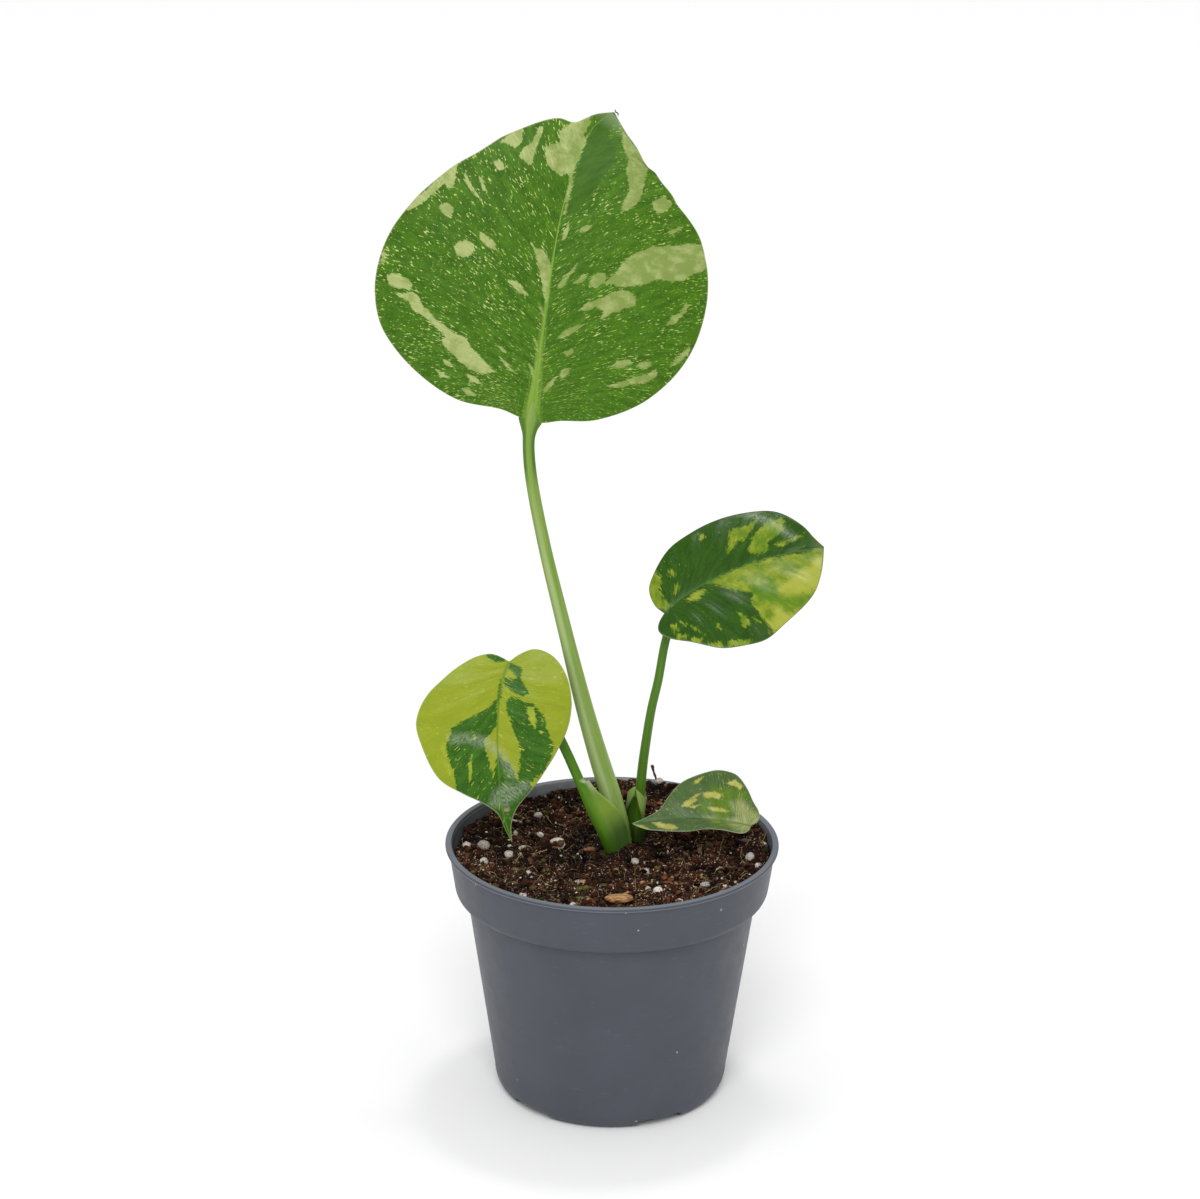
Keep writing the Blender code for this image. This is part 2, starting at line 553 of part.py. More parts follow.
def half_grid(outline, length, sign, rows, columns):
    """The flat grid of one half blade: lines that leave the midrib and run out to the margin."""
    margin = smooth_path(np.array(outline) * length, PATH_POINTS)
    travelled = length_along(margin)
    spots = read_path(margin, travelled, np.linspace(0.0, travelled[-1], rows + 1))
    roots = np.c_[length * (np.arange(rows + 1) / rows) ** ROOT_CROWDING, np.zeros(rows + 1)]
    share = (np.arange(columns + 1) / columns)[None, :, None] ** MIDRIB_CROWDING
    grid = roots[:, None] + (spots - roots)[:, None] * share
    return grid * (1.0, sign)


def make_blade(name, color):
    """A leaf blade as one thin closed body, both of its sides split into the same triangles."""
    leaf = LEAVES[name]
    length = blade_frame(leaf)[1][-1]
    rows, columns = leaf["rows"]
    halves = [half_grid(leaf["left"], length, -1.0, rows, columns),
              half_grid(leaf["right"], length, 1.0, rows, columns)]
    flat = np.vstack([halves[0].reshape(-1, 2), halves[1][1:-1, 1:].reshape(-1, 2)])
    left = np.arange((rows + 1) * (columns + 1)).reshape(rows + 1, columns + 1)
    left[0] = left[0, 0]
    left[-1] = left[-1, 0]
    right = left.copy()
    fresh = (rows + 1) * (columns + 1) + np.arange((rows - 1) * columns)
    right[1:-1, 1:] = fresh.reshape(rows - 1, columns)

    triangles = []
    for half in (left, right[:, ::-1]):
        a, b, c, d = half[:-1, :-1], half[1:, :-1], half[1:, 1:], half[:-1, 1:]
        triangles.append(np.stack([a, b, c], axis=-1).reshape(-1, 3))
        triangles.append(np.stack([a, c, d], axis=-1).reshape(-1, 3))
    triangles = np.vstack(triangles)
    whole = (triangles[:, 0] != triangles[:, 1]) & (triangles[:, 1] != triangles[:, 2]) \
        & (triangles[:, 2] != triangles[:, 0])
    triangles = triangles[whole]

    point, normal = blade_surface(leaf, flat[:, 0], flat[:, 1])
    above, below = blade_thickness(leaf, flat[:, 0], flat[:, 1])
    upper = point + above[:, None] * normal
    lower = point - below[:, None] * normal
    shift = len(flat)
    edge = np.r_[left[:, -1], right[-2:0:-1, -1]]
    ahead = np.roll(edge, -1)
    walls = np.vstack([np.c_[edge, ahead, ahead + shift], np.c_[edge, ahead + shift, edge + shift]])
    faces = np.vstack([triangles, triangles[:, ::-1] + shift, walls])
    used, faces = np.unique(faces, return_inverse=True)
    vertices = np.vstack([upper, lower])[used]
    return add_object(name, vertices, [tuple(row) for row in faces.reshape(-1, 3).tolist()], color, 0.45)


def stalk_seat(leaf_name):
    """Where a stalk ends under its blade, just clear of the rib, and the way it points there.

    The tall blade carries straight on from its stalk. The others sit on theirs, near the blade's base.
    """
    leaf = LEAVES[leaf_name]
    if leaf_name == "tall_leaf":
        path, _, ahead = blade_frame(leaf)
        return path[0] - 1.5 * GAP * ahead[0], ahead[0]
    point, normal = blade_surface(leaf, SEAT_ALONG, 0.0)
    below = blade_thickness(leaf, 0.0, 0.0)[1]
    return point - (below + GAP) * normal, normal


def make_stalk(name, color, ring_count):
    """A leaf stalk: an oval section that bends into a clasping sheath near the foot.

    The section's middle line is an arc, and its thickness falls off from the middle to the wings.
    """
    stalk = STALKS[name]
    seat, out = stalk_seat(stalk["blade"])
    route = list(stalk["route"]) + [tuple(seat - SEAT_LEAD * out), tuple(seat)]
    path = smooth_path(route, PATH_POINTS)
    lengths = length_along(path)
    stations = np.array(stalk["stations"])
    fraction = np.linspace(0.0, 1.0, ring_count) ** FOOT_CROWDING
    centre = read_path(path, lengths, fraction * lengths[-1])
    tangent = unit(read_path(np.gradient(path, lengths, axis=0), lengths, fraction * lengths[-1]))
    tangent[0] = (0.0, 0.0, 1.0)
    tangent[-1] = out
    inward = np.array([*stalk["inward"], 0.0])
    inward = unit(inward - (tangent @ inward)[:, None] * tangent)
    aside = np.cross(inward, tangent)
    core, wing, front, back, bend = (
        np.interp(fraction, stations[:, 0], column)[:, None] for column in stations.T[1:])

    turn = np.radians(np.arange(0, 360, 360.0 / stalk["sides"]))[None, :]
    reach = np.cos(turn) * np.where(np.cos(turn) > 0, front, back)
    thick = np.sin(turn) * (wing + (core - wing) * np.exp(-(reach / (1.3 * core)) ** 2))
    angle = bend * reach
    sideways = np.sin(angle) / bend - thick * np.sin(angle)
    inwards = (1 - np.cos(angle)) / bend + thick * np.cos(angle)
    rings = (centre[:, None] + sideways[..., None] * aside[:, None]
             + inwards[..., None] * inward[:, None])
    vertices, faces = swept_solid(rings)
    return add_object(name, vertices, faces, color, 0.5)


for old in list(bpy.data.objects):
    bpy.data.objects.remove(old, do_unlink=True)

make_pot()
make_soil()
make_crown()
make_stalk("tall_petiole", (0.21, 0.35, 0.06), 15)
make_stalk("left_petiole", (0.08, 0.25, 0.02), 20)
make_stalk("right_petiole", (0.10, 0.22, 0.03), 20)
make_stalk("low_petiole", (0.08, 0.20, 0.02), 12)
make_blade("tall_leaf", (0.08, 0.20, 0.02))
make_blade("right_leaf", (0.06, 0.14, 0.02))
make_blade("left_leaf", (0.30, 0.42, 0.03))
make_blade("low_leaf", (0.07, 0.16, 0.03))
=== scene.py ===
"""The looks of a young variegated monstera in its nursery pot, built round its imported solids."""

from functools import partial

import bmesh
import bpy
import numpy as np
from mathutils import Matrix


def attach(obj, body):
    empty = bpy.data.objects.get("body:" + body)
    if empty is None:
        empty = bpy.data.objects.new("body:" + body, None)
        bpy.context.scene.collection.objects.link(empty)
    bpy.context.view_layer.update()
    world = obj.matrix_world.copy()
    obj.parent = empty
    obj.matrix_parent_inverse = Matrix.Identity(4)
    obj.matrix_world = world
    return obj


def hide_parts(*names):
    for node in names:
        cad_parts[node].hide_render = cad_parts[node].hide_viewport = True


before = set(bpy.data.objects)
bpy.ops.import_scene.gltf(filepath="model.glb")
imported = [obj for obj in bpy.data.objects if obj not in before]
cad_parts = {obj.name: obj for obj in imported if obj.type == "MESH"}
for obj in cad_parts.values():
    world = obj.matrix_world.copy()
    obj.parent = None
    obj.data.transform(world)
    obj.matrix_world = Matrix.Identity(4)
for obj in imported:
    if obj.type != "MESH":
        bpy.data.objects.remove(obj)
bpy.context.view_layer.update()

# The nursery pot is one injection-moulded shell of slate-blue polypropylene. Its collar stands out over a
# tapered body, and the foot is notched in five places, with a drain hole in each notch. Lengths are in
# metres.
POT_HEIGHT = 0.095
POT_WALL = 0.0011
POT_FLOOR = 0.0012
LIP_RADIUS = 0.060
COLLAR_TOP_RADIUS = 0.0588
COLLAR_BOTTOM_RADIUS = 0.0565
COLLAR_DEPTH = 0.0172
BODY_TOP_RADIUS = 0.0524
BODY_FOOT_RADIUS = 0.0414
FOOT_CORNER_HEIGHT = 0.0074
FOOT_CORNER_WIDTH = 0.0044
NOTCH_COUNT = 5
NOTCH_AZIMUTH = -63.5
NOTCH_HEIGHT = 0.003
NOTCH_HALF_ANGLE = 12.2
NOTCH_START_RADIUS = 0.021
DRAIN_RADIUS = 0.003
DRAIN_CIRCLE = 0.0305
UNDER_COLLAR = 0.0018
DEGREES_A_SIDE = 0.8


def unit(vectors):
    """Each vector divided by its length."""
    return vectors / np.linalg.norm(vectors, axis=-1, keepdims=True)


def ease(values):
    """Nothing below 0, all above 1, and a smooth S between them."""
    t = np.clip(values, 0.0, 1.0)
    return t * t * (3.0 - 2.0 * t)


def linear(text):
    """An sRGB hex colour turned to linear light, with full alpha."""
    shares = np.array([int(text[k:k + 2], 16) for k in (0, 2, 4)]) / 255.0
    light = np.where(shares <= 0.04045, shares / 12.92, ((shares + 0.055) / 1.055) ** 2.4)
    return (*light.tolist(), 1.0)


def feed(sockets, inputs):
    """Links or sets sockets, each found by its name or its number. A colour is given as sRGB hex text."""
    for name, value in inputs.items():
        if isinstance(value, bpy.types.NodeSocket):
            value.id_data.links.new(value, sockets[name])
        else:
            sockets[name].default_value = linear(value) if isinstance(value, str) else value


def add_node(tree, kind, inputs=(), out=None, **settings):
    """Adds a node with its settings and links. Its inputs are given by name, or in the order in which the
    node shows them. What comes back is the output asked for, or else the first that the node shows."""
    made = tree.nodes.new("ShaderNode" + kind)
    for name, value in settings.items():
        setattr(made, name, value)
    if isinstance(inputs, dict):
        feed(made.inputs, inputs)
    else:
        feed([socket for socket in made.inputs if socket.enabled], dict(enumerate(inputs)))
    return made.outputs[out] if out else next(socket for socket in made.outputs if socket.enabled)


def new_material(name):
    """A material, the function that adds nodes to it, and the sockets of its surface shader."""
    material = bpy.data.materials.new(name)
    material.use_nodes = True
    tree = material.node_tree
    return material, partial(add_node, tree), tree.nodes["Principled BSDF"].inputs


def new_piece(name, points, faces, numbers=None, maps=None, sharp=40.0):
    """A smooth mesh object whose faces point outwards, with a number or a flat place for each point."""
    mesh = bpy.data.meshes.new(name)
    mesh.from_pydata(np.asarray(points, float), [], faces)
    for title, values in (numbers or {}).items():
        column = mesh.attributes.new(title, "FLOAT", "POINT").data
        column.foreach_set("value", np.asarray(values, np.float32))
    work = bmesh.new()
    work.from_mesh(mesh)
    bmesh.ops.recalc_face_normals(work, faces=work.faces)
    work.to_mesh(mesh)
    work.free()
    corner = np.empty(len(mesh.loops), np.int32)
    mesh.loops.foreach_get("vertex_index", corner)
    for title, places in (maps or {}).items():
        mesh.uv_layers.new(name=title).data.foreach_set("uv", places[corner].astype(np.float32).ravel())
    mesh.shade_smooth()
    mesh.set_sharp_from_angle(angle=np.radians(sharp))
    piece = bpy.data.objects.new(name, mesh)
    bpy.context.scene.collection.objects.link(piece)
    return piece


def settle(piece, material, slot, *nodes):
    """Gives a piece its material, seats it on the part and lets it stand for its nodes. Its record slot is
    not used."""
    piece.data.materials.clear()
    piece.data.materials.append(material)
    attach(piece, "root")
    if nodes:
        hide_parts(*nodes)


def rounded_outline(corners, count=5):
    """A broken line whose corners are eased: each is a quadratic curve between two points short of it."""
    corners = np.array(corners)
    spot = corners[:, :2]
    back = spot[1:-1] + unit(spot[:-2] - spot[1:-1]) * corners[1:-1, 2:]
    forth = spot[1:-1] + unit(spot[2:] - spot[1:-1]) * corners[1:-1, 2:]
    t = np.linspace(0.0, 1.0, count)[:, None, None]
    curve = (1 - t) ** 2 * back + 2 * t * (1 - t) * spot[1:-1] + t ** 2 * forth
    return np.vstack([spot[:1], curve.transpose(1, 0, 2).reshape(-1, 2), spot[-1:]])


def notch_lift(degrees, radius):
    """How high the foot is lifted: the notch's height, eased in over a degree or two at each side."""
    period = 360.0 / NOTCH_COUNT
    off = np.abs((degrees - NOTCH_AZIMUTH + period / 2) % period - period / 2)
    inside = ease((NOTCH_HALF_ANGLE + 1.2 - off) / 2.4)
    return NOTCH_HEIGHT * inside * ease((radius - NOTCH_START_RADIUS) / 0.0012)


def around(radius, turn, height):
    """Points at a radius and a turn round an upright axis, and at a height."""
    return np.stack(np.broadcast_arrays(radius * np.cos(turn), radius * np.sin(turn), height), axis=-1)


def turned(outline, degrees, floor):
    """An outline of radius and height carried round the axis, lifted over the foot's notches."""
    radius = outline[:, :1]
    height = np.maximum(outline[:, 1:], notch_lift(degrees[None], radius) + floor)
    return around(radius, np.radians(degrees)[None], height)


def ring_faces(count, around, first=None, last=None):
    """Quads between rings that follow each other, and a fan of triangles to a point inside an end
    ring."""
    number = np.arange(count * around).reshape(count, around)
    after = np.roll(number, -1, axis=1)
    faces = np.stack([number[:-1], after[:-1], after[1:], number[1:]], axis=-1).reshape(-1, 4).tolist()
    if first is not None:
        faces += np.stack([after[0], number[0], np.full(around, first)], axis=-1).tolist()
    if last is not None:
        faces += np.stack([number[-1], after[-1], np.full(around, last)], axis=-1).tolist()
    return faces


collar_foot = POT_HEIGHT - COLLAR_DEPTH
body_top = collar_foot - UNDER_COLLAR
corner_radius = BODY_FOOT_RADIUS + (BODY_TOP_RADIUS - BODY_FOOT_RADIUS) * FOOT_CORNER_HEIGHT / body_top
flat_radius = corner_radius - FOOT_CORNER_WIDTH
quarter = np.linspace(0.0, np.pi / 2, 12)

# The base has its rings close together where the notches begin. Each corner of the wall's outline has its
# radius, its height, and how far from it its rounding starts.
base_line = np.stack([np.r_[np.linspace(0.0200, 0.0235, 8), 0.027, 0.031, 0.034], np.zeros(11)], axis=-1)
foot_arc = np.stack([flat_radius + FOOT_CORNER_WIDTH * np.sin(quarter),
                     FOOT_CORNER_HEIGHT * (1 - np.cos(quarter))], axis=-1)
inner_arc = np.stack([flat_radius + (FOOT_CORNER_WIDTH - POT_WALL) * np.sin(quarter),
                      POT_FLOOR + (FOOT_CORNER_HEIGHT - POT_FLOOR) * (1 - np.cos(quarter))], axis=-1)
wall_line = rounded_outline([
    (*foot_arc[-1], 0.0), (BODY_TOP_RADIUS, body_top, 0.0004),
    (COLLAR_BOTTOM_RADIUS - 0.0009, body_top + 0.0003, 0.0007), (COLLAR_BOTTOM_RADIUS, collar_foot, 0.0009),
    (COLLAR_TOP_RADIUS, POT_HEIGHT - 0.0018, 0.0006), (LIP_RADIUS, POT_HEIGHT - 0.0013, 0.0005),
    (LIP_RADIUS, POT_HEIGHT, 0.0007), (COLLAR_TOP_RADIUS - POT_WALL, POT_HEIGHT, 0.0006),
    (COLLAR_BOTTOM_RADIUS - POT_WALL, collar_foot + 0.0009, 0.001),
    (BODY_TOP_RADIUS - POT_WALL, body_top + 0.0004, 0.001), (*inner_arc[-1], 0.0)])
outer_outline = np.vstack([base_line, foot_arc[:-1], wall_line])
inner_outline = np.vstack([inner_arc[::-1][1:], base_line[::-1] + (0.0, POT_FLOOR)])
pot_degrees = np.arange(0.0, 360.0, DEGREES_A_SIDE)
pot_rings = np.vstack([turned(outer_outline, pot_degrees, 0.0),
                       turned(inner_outline, pot_degrees, POT_FLOOR)])
pot_points = np.vstack([pot_rings.reshape(-1, 3), [(0, 0, 0), (0, 0, POT_FLOOR)]])
ring_count, ring_sides = pot_rings.shape[:2]
axis_point = ring_count * ring_sides
pot = new_piece("nursery_pot", pot_points, ring_faces(ring_count, ring_sides, axis_point, axis_point + 1))

# The five drain holes are drilled by one tool of five round pins, which is taken away again.
DRILL_FROM = -0.002
DRILL_TO = 0.009
drill_turn = np.radians(np.arange(0, 360, 12))
drill_middle = np.radians(NOTCH_AZIMUTH + 360.0 / NOTCH_COUNT * np.arange(NOTCH_COUNT))[:, None]
drill_x = DRAIN_CIRCLE * np.cos(drill_middle) + DRAIN_RADIUS * np.cos(drill_turn)[None]
drill_y = DRAIN_CIRCLE * np.sin(drill_middle) + DRAIN_RADIUS * np.sin(drill_turn)[None]
drill_rings = np.stack([np.stack([drill_x, drill_y, 0 * drill_x + z], axis=-1)
                        for z in (DRILL_FROM, DRILL_TO)], axis=1)
drill_ends = drill_rings.mean(axis=2)
drill_points = np.concatenate([drill_rings.reshape(NOTCH_COUNT, -1, 3), drill_ends], axis=1)
drill_size = drill_points.shape[1]
drill_faces = [[number + hole * drill_size for number in face] for hole in range(NOTCH_COUNT)
               for face in ring_faces(2, len(drill_turn), drill_size - 2, drill_size - 1)]
drill = new_piece("drain_drill", drill_points.reshape(-1, 3), drill_faces)
cut = pot.modifiers.new("Drain holes", "BOOLEAN")
cut.object = drill
cut.solver = "EXACT"
drilled = bpy.data.meshes.new_from_object(pot.evaluated_get(bpy.context.evaluated_depsgraph_get()))
pot.modifiers.clear()
pot.data = drilled
bpy.data.objects.remove(drill)

# Points of the inner wall, well inside the straight line from foot to lip and over the height that can be
# seen, are marked for the film of dried peat water and for the painted shade on the left inner wall.
SEEN_FROM_HEIGHT = 0.03
INNER_DEPTH = 0.0018
place = np.empty(len(drilled.vertices) * 3)
drilled.vertices.foreach_get("co", place)
place = place.reshape(-1, 3)
outer_radius = np.interp(place[:, 2], (0.0, collar_foot, POT_HEIGHT),
                         (BODY_FOOT_RADIUS, BODY_TOP_RADIUS, LIP_RADIUS))
inside = np.hypot(place[:, 0], place[:, 1]) < outer_radius - INNER_DEPTH
inner_share = inside & (place[:, 2] > SEEN_FROM_HEIGHT)
drilled.attributes.new("inner", "FLOAT", "POINT").data.foreach_set("value", inner_share.astype(np.float32))

# Moulded polypropylene: an even satin slate blue with a grain of half a millimetre. Dust and dried peat
# water leave pale specks and a grey film on the inner wall, painted shade darkens the left inner wall,
# and painted highlights make the brim and the parting line under the lip pale. METRE is in millimetres,
# so a pattern whose cells are 5 mm wide has the scale METRE / 5.
METRE = 1000.0
PARTING_HEIGHT = POT_HEIGHT - 0.0012
FILMED_BACK = (0.0, 0.035)
SHADED_LEFT = (-0.043, -0.030)
pot_material, put, surface = new_material("moulded_polypropylene")
spot = put("TexCoord", out="Object")
cloud = put("TexNoise", {"Vector": spot, "Scale": METRE / 22.2, "Detail": 4.0})
body_tone = put("Mix", (cloud, "40434b", "4b4f58"), data_type="RGBA")

# The grey film lies on the inner wall at the back, and painted shade darkens the left inner wall.
film_and_sheen = put("TexNoise", {"Vector": spot, "Scale": METRE / 6.25, "Detail": 6.0, "Roughness": 0.7})
inner = put("Attribute", out="Fac", attribute_name="inner")
film_share = put("MapRange", (film_and_sheen, 0.30, 0.72, 0.45, 1.0))
spot_x, spot_y, spot_z = put("SeparateXYZ", (spot,)).node.outputs
at_back = put("MapRange", (spot_y, *FILMED_BACK))
film_share = put("Math", (film_share, inner), operation="MULTIPLY")
film_share = put("Math", (film_share, at_back), operation="MULTIPLY")
body_tone = put("Mix", (film_share, body_tone, "9a9ea0"), data_type="RGBA")
shaded = put("MapRange", (spot_x, *SHADED_LEFT, 0.72, 0.0))
shaded = put("Math", (shaded, inner), operation="MULTIPLY")
body_tone = put("Mix", (shaded, body_tone, "1c1c1f"), data_type="RGBA")

# Painted highlights make the parting line and the brim pale, and fine scuffs run round the pot.
off_parting = put("Math", (spot_z, PARTING_HEIGHT), operation="SUBTRACT")
off_parting = put("Math", (off_parting,), operation="ABSOLUTE")
parting = put("MapRange", (off_parting, 0.00010, 0.00030, 0.55, 0.0))
brim = put("MapRange", (spot_z, POT_HEIGHT - 0.00030, POT_HEIGHT - 0.00005, 0.0, 0.45))
painted_lip_highlight = put("Math", (parting, brim), operation="MAXIMUM")
body_tone = put("Mix", (painted_lip_highlight, body_tone, "868d96"), data_type="RGBA")
stretched = put("Mapping", {"Vector": spot, "Scale": (METRE / 4.55, METRE / 4.55, METRE / 0.714)})
scuff = put("TexNoise", {"Vector": stretched, "Scale": 1.0, "Detail": 2.0})
scuff = put("MapRange", (scuff, 0.66, 0.74, 0.0, 0.25))
body_tone = put("Mix", (scuff, body_tone, "61666d"), data_type="RGBA")

# One cell in ten holds a pale speck of dust in its middle.
cells = put("TexVoronoi", {"Vector": spot, "Scale": METRE / 4.76})
near = put("MapRange", (cells, 0.05, 0.10, 1.0, 0.0))
chosen = put("SeparateColor", (cells.node.outputs["Color"],))
chosen = put("Math", (chosen, 0.90), operation="GREATER_THAN")
dust = put("Math", (near, chosen), operation="MULTIPLY")
body_tone = put("Mix", (dust, body_tone, "a3a6a4"), data_type="RGBA")
gloss = put("MapRange", (film_and_sheen, 0.3, 0.7, 0.42, 0.54))
grain = put("TexNoise", {"Vector": spot, "Scale": METRE / 0.556, "Detail": 2.0})
bump = put("Bump", {"Strength": 0.12, "Distance": 0.0001, "Height": grain})
feed(surface, {"Base Color": body_tone, "Roughness": gloss, "Specular IOR Level": 0.3, "Normal": bump})
settle(pot, pot_material, "pot", "pot")


# The peat is a loose dark potting mix. It fills the pot up to a finger below the lip, is heaped against
# the wall at the back right, and its crumbs leave a rough surface with deep shadows between the clods.
SOIL_MIDDLE_HEIGHT = 0.087
SOIL_EDGE_HEIGHT = 0.0899
SOIL_MOUND_HEIGHT = 0.0058
SOIL_MOUND_AZIMUTH = 62.0
SOIL_MOUND_HALF_WIDTH = 41.0
SOIL_GAP = 0.0003
CROWN_CENTRE = (0.0052, 0.0100)
CROWN_HALF_LENGTH = 0.0135
CROWN_HALF_WIDTH = 0.0076
CROWN_AZIMUTH = 62.0
CROWN_COVER = 0.0884
LATTICE = 256
HEAP_CENTRE = (0.0064, 0.0006)
HEAP_SPREAD = (0.0040, 0.0034)
HEAP_HEIGHT = 0.0038
RELIEF_UNIT = 0.002
PEAT_SIDES = 500
PEAT_RINGS = 150
PEAT_RADIUS = 0.0561


def lumps(x, y, size, seed):
    """Smooth random heights from -1 to 1: random values on a square lattice, eased from one to the
    next."""
    table = np.random.default_rng(seed).uniform(-1, 1, (LATTICE + 1, LATTICE + 1))
    gx, gy = x / size + 80.37, y / size + 91.61
    ix, iy = np.floor(gx).astype(int), np.floor(gy).astype(int)
    fx, fy = ease(gx - ix), ease(gy - iy)
    left, right = ix % LATTICE, (ix + 1) % LATTICE
    near, far = iy % LATTICE, (iy + 1) % LATTICE
    near_row = table[left, near] * (1 - fx) + table[right, near] * fx
    far_row = table[left, far] * (1 - fx) + table[right, far] * fx
    return near_row * (1 - fy) + far_row * fy


def crown_distance(x, y):
    """How many times the crown's own oval a place is out from its middle."""
    lean = np.radians(CROWN_AZIMUTH)
    dx, dy = x - CROWN_CENTRE[0], y - CROWN_CENTRE[1]
    along = (dx * np.cos(lean) + dy * np.sin(lean)) / CROWN_HALF_LENGTH
    aside = (dy * np.cos(lean) - dx * np.sin(lean)) / CROWN_HALF_WIDTH
    return np.hypot(along, aside)


def clods(x, y):
    """The peat's own relief: rounded clods of three sizes with creases between them, and fine crumbs."""
    return (0.00120 * lumps(x, y, 0.0062, 3) + 0.00105 * (1.0 - 2.2 * np.abs(lumps(x, y, 0.0031, 4)))
            + 0.00060 * (1.0 - 2.2 * np.abs(lumps(x, y, 0.0016, 5))) + 0.00024 * lumps(x, y, 0.0009, 6))


def peat_height(x, y):
    """The peat's surface: a shallow bowl with a heap at the back wall and a small one at the stalks'
    feet, and a cover of crumbs over the crown."""
    radius = np.hypot(x, y) / COLLAR_TOP_RADIUS
    off = (np.degrees(np.arctan2(y, x)) - SOIL_MOUND_AZIMUTH + 180.0) % 360.0 - 180.0
    edge = SOIL_EDGE_HEIGHT + SOIL_MOUND_HEIGHT / (1.0 + (off / SOIL_MOUND_HALF_WIDTH) ** 4)
    bowl = SOIL_MIDDLE_HEIGHT + (edge - SOIL_MIDDLE_HEIGHT) * radius ** 2.5
    calm = 1.0 - 0.6 * ease((radius - 0.93) / 0.07)
    near = ease((1.45 - crown_distance(x, y)) / 0.35)
    cover = np.maximum(CROWN_COVER + 0.5 * clods(x, y), CROWN_COVER - 0.0003)
    heap_x, heap_y = (x - HEAP_CENTRE[0]) / HEAP_SPREAD[0], (y - HEAP_CENTRE[1]) / HEAP_SPREAD[1]
    heap = HEAP_HEIGHT * np.exp(-heap_x ** 2 / 2 - heap_y ** 2 / 2)
    return (bowl + clods(x, y) * calm) * (1 - near) + cover * near + heap


inner_wall = wall_line[-16:][::-1]


def wall_radius(height):
    """The inner radius of the pot at a height, less the gap to the peat."""
    return np.interp(height, inner_wall[:, 1], inner_wall[:, 0]) - SOIL_GAP


soil_turn = np.linspace(0.0, 2 * np.pi, PEAT_SIDES, endpoint=False)
soil_radius = np.linspace(0.0006, PEAT_RADIUS, PEAT_RINGS)[:, None]
x, y = soil_radius * np.cos(soil_turn), soil_radius * np.sin(soil_turn)
top_rings = np.stack([x, y, peat_height(x, y)], axis=-1)
brink = top_rings[-1, :, 2] - 0.0002
inner_steps = inner_wall[(inner_wall[:, 1] > 0.03) & (inner_wall[:, 1] < 0.085)][::-1]
side_heights = np.vstack([brink[None], inner_steps[:, 1:] + 0 * brink[None]])
side_rings = around(wall_radius(side_heights), soil_turn, side_heights)
low_line = np.vstack([inner_arc[-1:], inner_outline])
under_rings = turned(low_line - (SOIL_GAP, 0.0), np.degrees(soil_turn), POT_FLOOR)
under_rings[..., 2] += SOIL_GAP
soil_rings = np.vstack([top_rings, side_rings, under_rings])
soil_count, soil_sides = soil_rings.shape[:2]
soil_points = np.vstack([soil_rings.reshape(-1, 3),
                         [(0, 0, peat_height(0.0, 0.0)), (0, 0, POT_FLOOR + SOIL_GAP)]])
relief = np.zeros(len(soil_points))
relief[:top_rings[..., 0].size] = clods(x, y).ravel() / RELIEF_UNIT
axis_point = soil_count * soil_sides
peat = new_piece("peat", soil_points, ring_faces(soil_count, soil_sides, axis_point, axis_point + 1),
                 {"relief": relief}, sharp=180.0)

# Moist peat and coir dust: red brown on the drier clods and quite without shine, with painted shade that
# makes the hollows near black. Its crumbs are a millimetre wide, it stays wet in patches, and painted
# shade darkens it between the stalks.
WET_PATCH = 14.3
STALK_SHADE = (-0.014, 0.006, 0.09)
STALK_SHADE_REACH = (0.012, 0.034)


def dryness_and_shade(put, spot, wettest, driest):
    """How much of its dry colour the mix keeps at a place: the wettest value in slow patches, the driest
    one between them, and half as much in the painted shade of the stalks, rising with the distance from
    there."""
    patches = put("TexNoise", {"Vector": spot, "Scale": METRE / WET_PATCH, "Detail": 2.0})
    patches = put("MapRange", (patches, 0.40, 0.58, wettest, driest))
    away = put("VectorMath", (spot, STALK_SHADE), operation="DISTANCE")
    away = put("MapRange", (away, *STALK_SHADE_REACH, 0.5, 1.0))
    return put("Math", (patches, away), operation="MULTIPLY")


peat_material, put, surface = new_material("moist_peat")
spot = put("TexCoord", out="Object")
broad = put("TexNoise", {"Vector": spot, "Scale": METRE / 9.09, "Detail": 3.0})
fine = put("TexNoise", {"Vector": spot, "Scale": METRE / 1.11, "Detail": 5.0, "Roughness": 0.75})
tone = put("Mix", (broad, "120906", "3a2013"), data_type="RGBA")
dry = put("MapRange", (fine, 0.52, 0.66, 0.0, 0.9))
tone = put("Mix", (dry, tone, "7d4a2c"), data_type="RGBA")
ashen = put("TexNoise", {"Vector": spot, "Scale": METRE / 0.769, "Detail": 2.0})
ashen = put("MapRange", (ashen, 0.62, 0.66, 0.0, 0.9))
tone = put("Mix", (ashen, tone, "cabda4"), data_type="RGBA")
# Painted shade darkens the hollows of the relief, and the wet patches and the painted shade of the stalks
# darken it more.
relief = put("Attribute", out="Fac", attribute_name="relief")
hollow_shade = put("MapRange", (relief, -0.40, 0.35, 0.10, 1.1))
kept = put("Math", (hollow_shade, dryness_and_shade(put, spot, 0.35, 1.15)), operation="MULTIPLY")
tone = put("VectorMath", (tone, kept), operation="SCALE")
bump = put("Bump", {"Strength": 0.9, "Distance": 0.0004, "Height": fine})
feed(surface, {"Base Color": tone, "Roughness": 0.92, "Specular IOR Level": 0.12, "Normal": bump})
settle(peat, peat_material, "soil", "soil")

